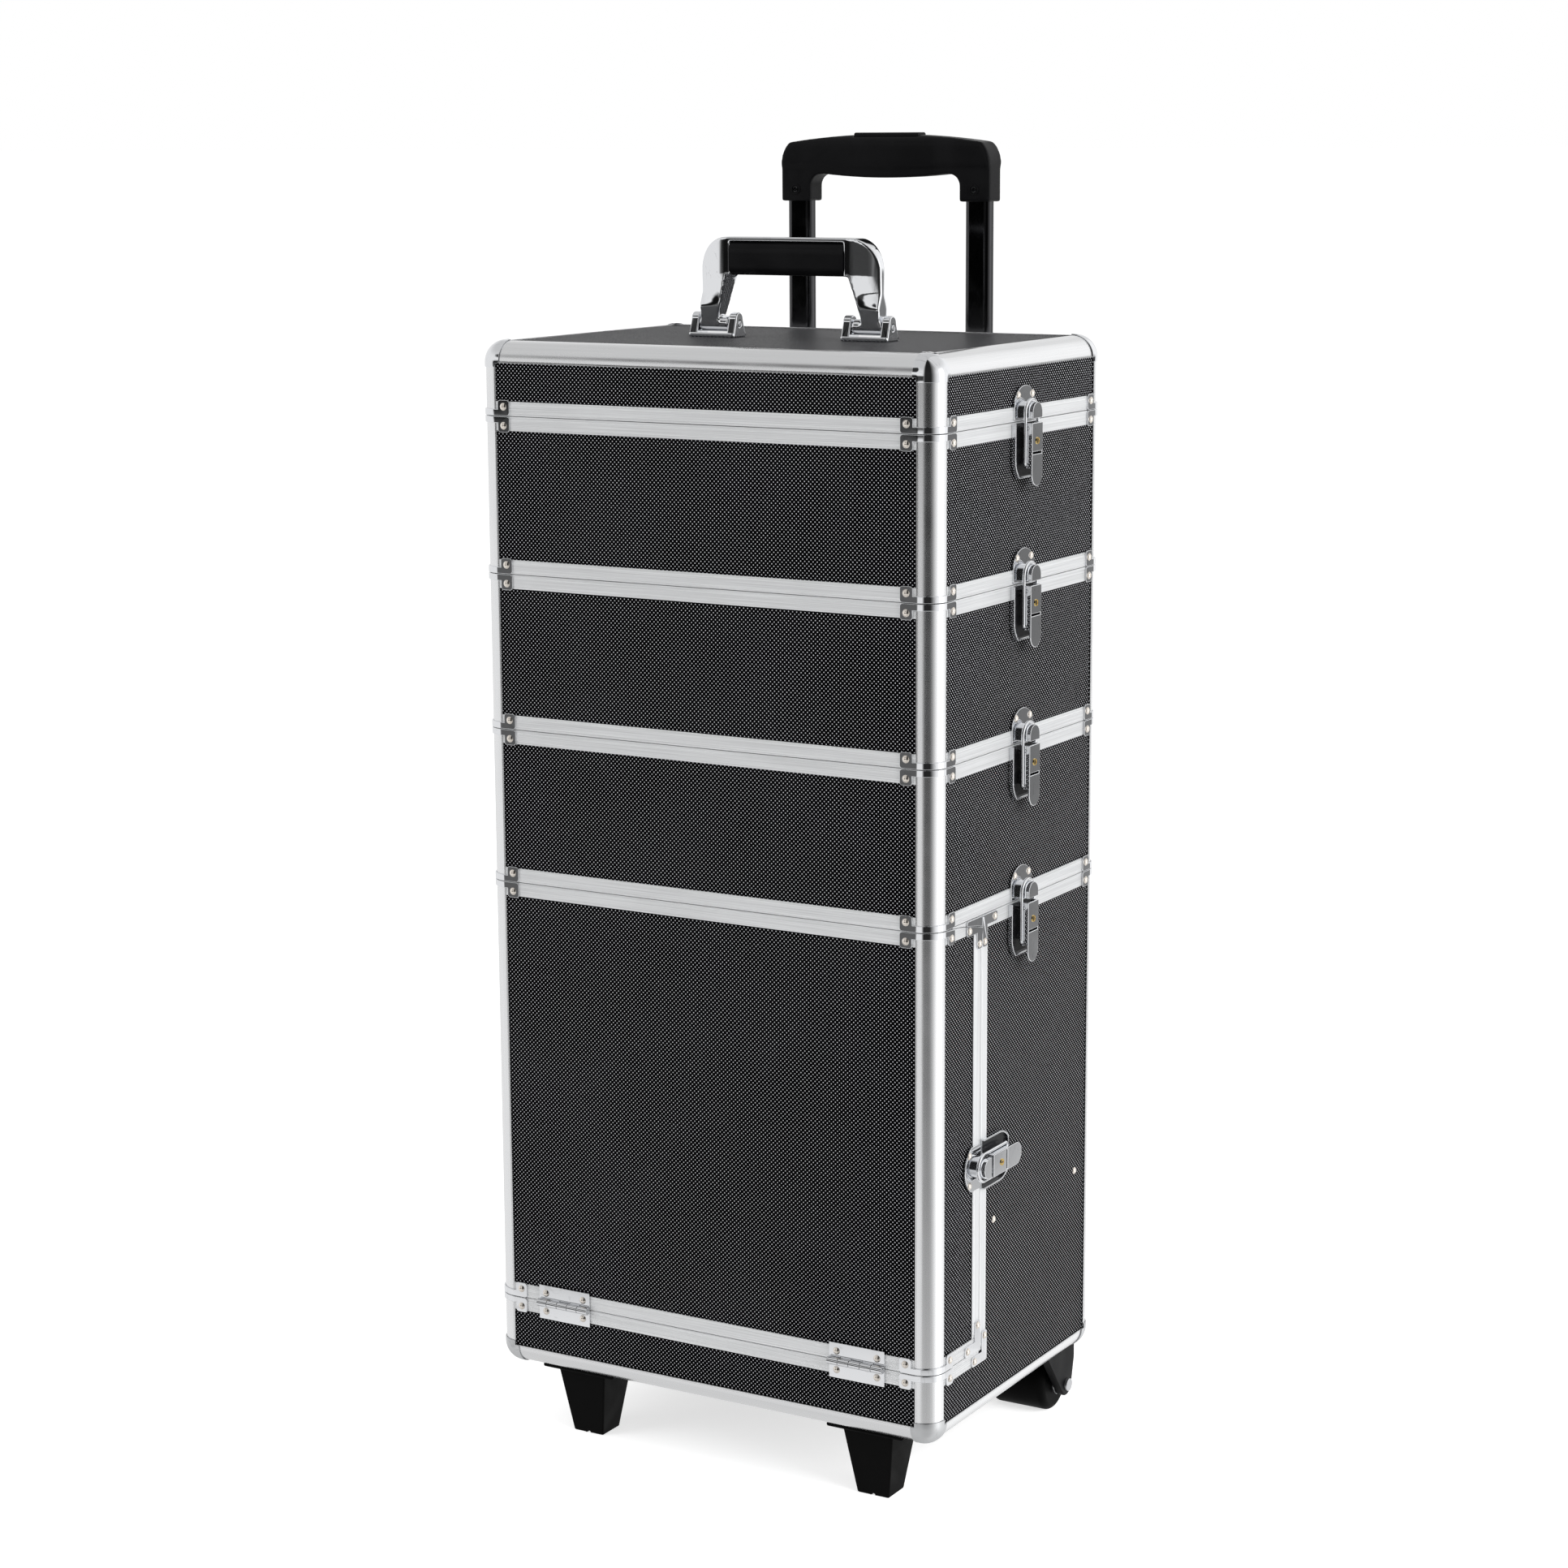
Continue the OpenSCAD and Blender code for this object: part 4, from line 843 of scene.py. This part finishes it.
def disc(mesh: BMesh, centre: Vector, axis: Vector, radius: float, rise: float,
         segments: int = 32) -> Face:
    """Adds a closed round disc.

    Args:
        mesh: the mesh that it goes into.
        centre: middle of its lower face.
        axis: the way that it rises.
        radius: its radius.
        rise: its height.
        segments: sides of its outline.

    Returns:
        The disc's upper face.
    """
    turn = axis.to_track_quat("Z", "Y").to_matrix().to_4x4()
    place = Matrix.Translation(centre + axis * rise / 2) @ turn
    made = bmesh.ops.create_cone(mesh, cap_ends=True, segments=segments, radius1=radius, radius2=radius,
                                 depth=rise, matrix=place)
    faces = {f for v in made["verts"] for f in v.link_faces}
    return max(faces, key=lambda f: f.calc_center_median().dot(axis))


@dataclass
class CrossScrew:
    """A countersunk screw with a cross recess in painted shade; its rim, dish and bars are in radii."""

    name: str
    body: str
    centre: Vector
    axis: Vector
    radius: float
    coat: Finish
    rise: float = 0.35 * MM
    root: float = 0.3 * MM
    rim: tuple[float, float] = (0.12, 0.06)
    dish: tuple[float, float] = (0.2, -0.12)
    bar: tuple[float, float, float] = (1.1, 0.28, 0.06)
    bar_sink: float = 0.04
    bar_turns: tuple[float, float] = (20.0, 110.0)

    def build(self) -> None:
        """Builds the head, its sunk face and the two bars of the cross, coloured black as painted shade."""
        solid = Solid(bmesh.new())
        mesh = solid.mesh
        foot = self.centre - self.axis * self.root
        top = disc(mesh, foot, self.axis, self.radius, self.rise + self.root)
        inset(mesh, top, *((wide * self.radius, up * self.radius) for wide, up in (self.rim, self.dish)))
        solid.paint(self.coat)
        turn = self.axis.to_track_quat("Z", "Y").to_matrix().to_4x4()
        before = set(mesh.faces)
        flat = Matrix.Diagonal((*(side * self.radius for side in self.bar), 1.0))
        seat = self.centre + self.axis * (self.rise - self.bar_sink * self.radius)
        for angle in self.bar_turns:
            spun = Matrix.Rotation(angle * DEGREE, 4, "Z")
            bmesh.ops.create_cube(mesh, size=1.0, matrix=Matrix.Translation(seat) @ turn @ spun @ flat)
        # Painted shade: the cross recess is coloured black for the dark inside it.
        solid.paint(SHADOW, [f for f in mesh.faces if f not in before])
        solid.finish(self.name, self.body)


def blend(piece: Piece, cell: float, passes: int) -> None:
    """Runs a piece's forms into each other, as a casting or moulding does.

    Args:
        piece: the finished object.
        cell: size of the even mesh that takes its place.
        passes: how often the mesh is smoothed.
    """
    piece.modifiers.clear()
    whole = piece.modifiers.new("whole", "REMESH")
    whole.mode = "VOXEL"
    whole.voxel_size = cell
    whole.use_smooth_shade = True
    even = piece.modifiers.new("even", "SMOOTH")
    even.factor = 0.5
    even.iterations = passes


@dataclass
class CarryHandle:
    """The folding chrome handle, its black grip and its two brackets."""

    cell: float = 0.55 * MM
    passes: int = 22
    flat_to: float = 43.0 * MM
    lean: float = 0.72
    lean_step: float = 4.0 * MM
    lean_steps: int = 7
    foot_step: float = 3.0 * MM
    foot_steps: int = 3
    grip_edge: float = 4.0 * MM
    bracket_edge: float = 0.9 * MM
    bracket_w: float = 35.0 * MM
    axis_up: float = 8.8 * MM
    pin_r: float = 2.0 * MM
    pin_rise: float = 0.5 * MM
    pin_sink: float = 0.2 * MM
    pin_dome: tuple[float, float] = (0.5 * MM, 0.25 * MM)

    def build(self) -> None:
        """Builds the three CAD nodes and the pins' heads."""
        self.frame()
        self.grip()
        self.brackets()

    def frame(self) -> None:
        """The cast frame, its legs thinner towards the outside, with full round edges."""
        node = "carry_handle_frame"
        solid = Solid.of_node(node)
        solid.paint(CHROME)
        low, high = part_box(node)
        middle = (low.y + high.y) / 2
        foot = low.z + 2 * self.axis_up
        cuts = [(Vector((side * (self.flat_to + self.lean_step * i), 0, 0)), Vector((1, 0, 0)))
                for side in (-1, 1) for i in range(self.lean_steps)]
        cuts += [(Vector((0, 0, foot + self.foot_step * i)), Vector((0, 0, 1)))
                 for i in range(self.foot_steps + 1)]
        for point, way in cuts:
            solid.cut(point, way)
        for vert in solid.mesh.verts:
            out = min(max((abs(vert.co.x) - self.flat_to) / (high.x - self.flat_to), 0.0), 1.0)
            up = min(max((vert.co.z - foot) / (self.foot_steps * self.foot_step), 0.0), 1.0)
            vert.co.y = middle + (vert.co.y - middle) * (1 - self.lean * out ** 2 * up)
        blend(solid.replace(node, 180.0), self.cell, self.passes)

    def grip(self) -> None:
        """The grip, rounded along its length."""
        node = "carry_handle_grip"
        solid = Solid.of_node(node)
        solid.paint(PLASTIC)
        solid.soften(self.grip_edge, 5, keep=self.lengthwise)
        solid.replace(node, 40.0)

    def lengthwise(self, edge: Edge) -> bool:
        """Tells whether an edge runs along the grip."""
        run = edge.verts[1].co - edge.verts[0].co
        return run.length > self.grip_edge and abs(run.normalized().x) > 0.99

    def brackets(self) -> None:
        """The brackets, with a domed pin head on the outside of each ear."""
        node = "carry_handle_brackets"
        solid = Solid.of_node(node)
        solid.paint(CHROME)
        solid.soften(self.bracket_edge, 4)
        solid.replace(node)
        low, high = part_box(node)
        heads = Solid(bmesh.new())
        for side in (-1, 1):
            centre = side * ((high.x - low.x) / 2 - self.bracket_w / 2)
            for end in (-1, 1):
                spot = Vector((centre + end * (self.bracket_w / 2 - self.pin_sink), (low.y + high.y) / 2,
                               low.z + self.axis_up))
                top = disc(heads.mesh, spot, Vector((end, 0, 0)), self.pin_r, self.pin_rise)
                inset(heads.mesh, top, self.pin_dome)
        heads.paint(STEEL)
        heads.finish("bracket_pin_heads", body_of(node))


@dataclass
class TrolleyGrip:
    """The moulded trolley grip, blended into its sockets, with its button and screws."""

    cell: float = 0.8 * MM
    passes: int = 16
    screw_r: float = 2.3 * MM
    screw_up: float = 8.0 * MM
    screw_sink: float = 0.6 * MM
    screw_lift: float = 0.2 * MM
    screw_share: float = 0.85
    ring_share: float = 1.5
    ring_land: float = 0.25
    ring_root: float = 1.0 * MM
    ring_edge: float = 0.2 * MM
    ring_wall: float = 0.1 * MM
    socket_x: float = 69.5 * MM
    socket_d: float = 18.0 * MM
    button_lift: float = 1.5 * MM
    button_edge: float = 0.6 * MM
    belly_steps: int = 6
    belly_half: float = 48.0 * MM
    belly_drop: float = 2.6 * MM
    bar_middle: float = 30.0 * MM
    bar_half: float = 11.5 * MM

    def build(self) -> None:
        """Builds the blended grip, the screws and the button."""
        node = "trolley_grip"
        solid = Solid.of_node(node)
        solid.paint(PLASTIC)
        low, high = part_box(node)
        self.belly(solid, low.z)
        blend(solid.replace(node, 180.0), self.cell, self.passes)
        front = (low.y + high.y) / 2 - self.socket_d / 2
        for side in (-1, 1):
            spot = Vector((side * self.socket_x, front, low.z + self.screw_up))
            self.screw_well("left" if side < 0 else "right", spot, body_of(node))
        self.button()

    def belly(self, solid: Solid, foot: float) -> None:
        """Bows the bar's underside down towards its middle.

        Args:
            solid: the grip.
            foot: height of the sockets' lower ends.
        """
        for i in range(-self.belly_steps, self.belly_steps + 1):
            solid.cut(Vector((i * self.belly_half / self.belly_steps, 0, 0)), Vector((1, 0, 0)))
        for vert in solid.mesh.verts:
            along = min(abs(vert.co.x) / self.belly_half, 1.0)
            down = min(max((foot + self.bar_middle - vert.co.z) / self.bar_half, 0.0), 1.0)
            vert.co.z -= self.belly_drop * (1 - along ** 2) * down

    def button(self) -> None:
        """The push button, its hidden foot raised off the softened floor of its pocket."""
        node = "trolley_button"
        solid = Solid.of_node(node)
        solid.paint(PLASTIC)
        low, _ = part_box(node)
        for vert in solid.mesh.verts:
            if vert.co.z < low.z + self.button_lift:
                vert.co.z = low.z + self.button_lift
        solid.soften(self.button_edge, 3)
        solid.replace(node)

    def screw_well(self, side: str, spot: Vector, body: str) -> None:
        """A raised ring on a socket with a cross-head screw in it.

        Args:
            side: left or right.
            spot: the ring's middle on the socket's front.
            body: the body that it rides on.
        """
        ahead = Vector((0, -1, 0))
        ring = Solid(bmesh.new())
        top = disc(ring.mesh, spot - ahead * self.ring_root, ahead, self.ring_share * self.screw_r,
                   self.ring_root + self.screw_sink, 40)
        inset(ring.mesh, top, (self.ring_edge, self.ring_edge), (self.ring_land * self.screw_r, 0.0),
              (self.ring_wall, -self.screw_sink))
        ring.paint(PLASTIC)
        ring.finish(f"grip_ring_{side}", body)
        CrossScrew(f"grip_screw_{side}", body, spot + ahead * self.screw_lift, ahead,
                   self.screw_share * self.screw_r, GLOSS).build()


@dataclass(frozen=True)
class Flag:
    """A dark patch that metal sees: its turn in degrees, drop, brightness and edge as cosines."""

    turn: float
    drop: float
    least: float
    inner: float
    outer: float

    def way(self) -> Vector:
        """Returns the way to the patch's middle."""
        turn = self.turn * DEGREE
        return Vector((math.sin(turn), -math.cos(turn), -self.drop)).normalized()


@dataclass(frozen=True)
class Lamp:
    """A square softbox aimed at the case."""

    name: str
    place: tuple[float, float, float]
    size: float
    power: float


FLAGS = (Flag(-30.4, 0.08, 0.13, 0.986, 0.96),
         Flag(-30.4, -0.55, 0.04, 0.992, 0.977),
         Flag(149.6, 0.15, 0.17, 0.998, 0.97))
LAMPS = (Lamp("left_box", (-1.9, -2.2, 1.7), 1.6, 24.0),
         Lamp("right_box", (2.6, -0.5, 1.5), 1.6, 68.0),
         Lamp("top_box", (0.2, -0.2, 2.8), 2.0, 2.5))


@dataclass
class Studio:
    """Floor, lamps, surroundings and the camera; turns are in degrees from the front."""

    lens: float = 78.33
    sensor: float = 36.0
    eye: tuple[float, float, float] = (1.1384, -1.96805, 0.8852)
    yaw: float = 30.359
    pitch: float = 10.821
    roll: float = -0.313
    aim: tuple[float, float, float] = (0.0, 0.0, 0.42)
    even_light: float = 0.55
    floor_half: float = 150.0
    floor_tone: float = 0.8
    floor_lift: float = 0.66
    left_wall: Band = Band(4.0, 17.0, 0.85, 0.02)
    right_wall: Band = Band(44.0, 88.0, 0.02, 1.05)
    near_floor: Band = Band(-0.36, -0.27, 0.7, 0.0)
    window_left: Band = Band(-52.0, -42.0, 0.0, 1.0)
    window_right: Band = Band(6.0, 18.0, 1.0, 0.0)
    window_foot: Band = Band(-0.1, -0.07, 0.0, 1.0)
    window_head: Band = Band(0.06, 0.14, 1.0, 0.0)
    window_shade: float = 0.94
    roof: Band = Band(0.3, 0.75, 1.0, 0.72)
    ground: Band = Band(-0.75, -0.45, 0.8, 1.0)
    softbox_turn: float = 104.0
    softbox_across: Band = Band(8.0, 18.0, 0.7, 0.0)
    softbox_up: Band = Band(0.35, 0.6, 1.0, 0.0)

    def build(self) -> None:
        """Sets up everything that isn't part of the object."""
        self.camera()
        self.surroundings()
        self.floor()
        self.lamps()
        bpy.context.scene.view_settings.view_transform = "Standard"

    def camera(self) -> None:
        """Places the camera where the photograph was taken from."""
        yaw, pitch, roll = (math.radians(v) for v in (self.yaw, self.pitch, self.roll))
        ahead = Vector((-math.sin(yaw) * math.cos(pitch), math.cos(yaw) * math.cos(pitch),
                        -math.sin(pitch)))
        level = Vector((math.cos(yaw), math.sin(yaw), 0.0))
        above = level.cross(ahead)
        right = level * math.cos(roll) + above * math.sin(roll)
        up = above * math.cos(roll) - level * math.sin(roll)
        data = bpy.data.cameras.new("photo_camera")
        data.lens = self.lens
        data.sensor_width = self.sensor
        camera = put("photo_camera", data)
        turn = Matrix((right, up, -ahead)).transposed().to_4x4()
        camera.matrix_world = Matrix.Translation(self.eye) @ turn
        bpy.context.scene.camera = camera

    def surroundings(self) -> None:
        """White to the eye, a studio with a dark camera side to metal, soft even light to the rest."""
        world = bpy.data.worlds.new("studio")
        graph = Graph.emptied(world)
        path = graph.node("ShaderNodeLightPath")
        white = (1, 1, 1, 1)
        plain = graph.node("ShaderNodeBackground", {0: white, 1: self.even_light})
        metal = graph.node("ShaderNodeBackground", {0: white, 1: self.metal_light(graph)})
        bare = graph.node("ShaderNodeBackground", {0: white, 1: 1.0})
        shiny = graph.math("MAXIMUM", path.outputs["Is Glossy Ray"], path.outputs["Is Transmission Ray"])
        first = graph.node("ShaderNodeMixShader", {0: shiny, 1: plain.outputs[0], 2: metal.outputs[0]})
        last = graph.node("ShaderNodeMixShader", {0: path.outputs["Is Camera Ray"], 1: first.outputs[0],
                                                  2: bare.outputs[0]})
        graph.node("ShaderNodeOutputWorld", {0: last.outputs[0]})
        bpy.context.scene.world = world

    def metal_light(self, graph: Graph) -> Socket:
        """Returns the brightness that metal sees each way.

        Args:
            graph: the world's graph.

        Returns:
            Bright walls with a dark window and dark flags, and one softbox.
        """
        way = graph.node("ShaderNodeTexCoord").outputs["Generated"]
        spread = graph.node("ShaderNodeSeparateXYZ", {0: way})
        height = spread.outputs[2]
        around = graph.math("ARCTAN2", spread.outputs[0], graph.math("MULTIPLY", spread.outputs[1], -1.0))
        walls = graph.math("MAXIMUM", graph.step(around, self.left_wall, DEGREE),
                           graph.step(around, self.right_wall, DEGREE))
        seen = graph.math("MAXIMUM", walls, graph.step(height, self.near_floor))
        window = graph.math("MULTIPLY", graph.step(around, self.window_left, DEGREE),
                            graph.step(around, self.window_right, DEGREE))
        for edge in (self.window_foot, self.window_head):
            window = graph.math("MULTIPLY", window, graph.step(height, edge))
        seen = graph.math("MULTIPLY", seen, graph.scaled(window, -self.window_shade, 1.0))
        for fade in (self.roof, self.ground):
            seen = graph.math("MULTIPLY", seen, graph.step(height, fade))
        for flag in FLAGS:
            near = graph.vector("DOT_PRODUCT", way, flag.way()).outputs["Value"]
            seen = graph.math("MULTIPLY", seen, graph.span(near, flag.outer, flag.inner, 1.0, flag.least))
        off = graph.math("ABSOLUTE", graph.math("SUBTRACT", around, self.softbox_turn * DEGREE))
        box = graph.math("MULTIPLY", graph.step(off, self.softbox_across, DEGREE),
                         graph.step(graph.math("ABSOLUTE", height), self.softbox_up))
        return graph.math("ADD", seen, box)

    def floor(self) -> None:
        """A wide white floor that keeps the object's shadow."""
        mesh = bmesh.new()
        bmesh.ops.create_grid(mesh, x_segments=1, y_segments=1, size=self.floor_half)
        data = bpy.data.meshes.new("floor")
        mesh.to_mesh(data)
        mesh.free()
        made = bpy.data.materials.new("white_floor")
        graph = Graph.emptied(made)
        path = graph.node("ShaderNodeLightPath")
        matt = graph.node("ShaderNodeBsdfDiffuse", {0: (*[self.floor_tone] * 3, 1)})
        glow = graph.math("MULTIPLY", path.outputs["Is Camera Ray"], self.floor_lift)
        lift = graph.node("ShaderNodeEmission", {0: (1, 1, 1, 1), 1: glow})
        both = graph.node("ShaderNodeAddShader", {0: matt.outputs[0], 1: lift.outputs[0]})
        graph.node("ShaderNodeOutputMaterial", {0: both.outputs[0]})
        data.materials.append(made)
        floor = put("floor", data)
        floor.visible_glossy = False

    def lamps(self) -> None:
        """Two broad softboxes and a top light."""
        for lamp in LAMPS:
            data = bpy.data.lights.new(lamp.name, "AREA")
            data.size = lamp.size
            data.energy = lamp.power
            made = put(lamp.name, data)
            made.location = lamp.place
            made.rotation_mode = "QUATERNION"
            made.rotation_quaternion = (Vector(self.aim) - Vector(lamp.place)).to_track_quat("-Z", "Y")
            made.visible_camera = False
            made.visible_glossy = False


PLAIN = (PlainNode("lid_corner_caps", CHROME, 0.2 * MM),
         PlainNode("base_corner_caps", MATT, 0.2 * MM),
         *(PlainNode(f"hinge_{owner}_leaves", CHROME, 0.2 * MM, rivets=True) for owner in ("base", "door")),
         PlainNode("front_feet", RUBBER, 1.2 * MM, 3),
         PlainNode("wheel_brackets", PLASTIC, 1.0 * MM, 3),
         PlainNode("wheel_axles", STEEL, 0.2 * MM),
         *(PlainNode(f"wheel_{side}", RUBBER, 0.4 * MM) for side in ("left", "right")),
         PlainNode("drawer_rails", STEEL, 0.2 * MM),
         PlainNode("drawer_runners", STEEL, 0.3 * MM),
         PlainNode("drawer_tray", LINING, 0.6 * MM),
         PlainNode("trolley_brackets", PLASTIC, 0.6 * MM),
         *(PlainNode(f"trolley_{tube}_tubes", GLOSS, 0.2 * MM) for tube in ("outer", "middle", "inner")))


def main() -> None:
    """Builds every sub-assembly and the studio, in order."""
    logging.basicConfig(level=logging.INFO, format="%(message)s")
    Studio().build()
    for name in ("base", "door", "tier3", "tier2", "tier1", "lid"):
        Shell(name).build()
    for name in ("lid", "tier1", "tier2", "tier3", "door"):
        for side in ("left", "right"):
            Latch(name, side).build()
    for piece in PLAIN:
        piece.build()
    CarryHandle().build()
    TrolleyGrip().build()


if __name__ == "__main__":
    main()
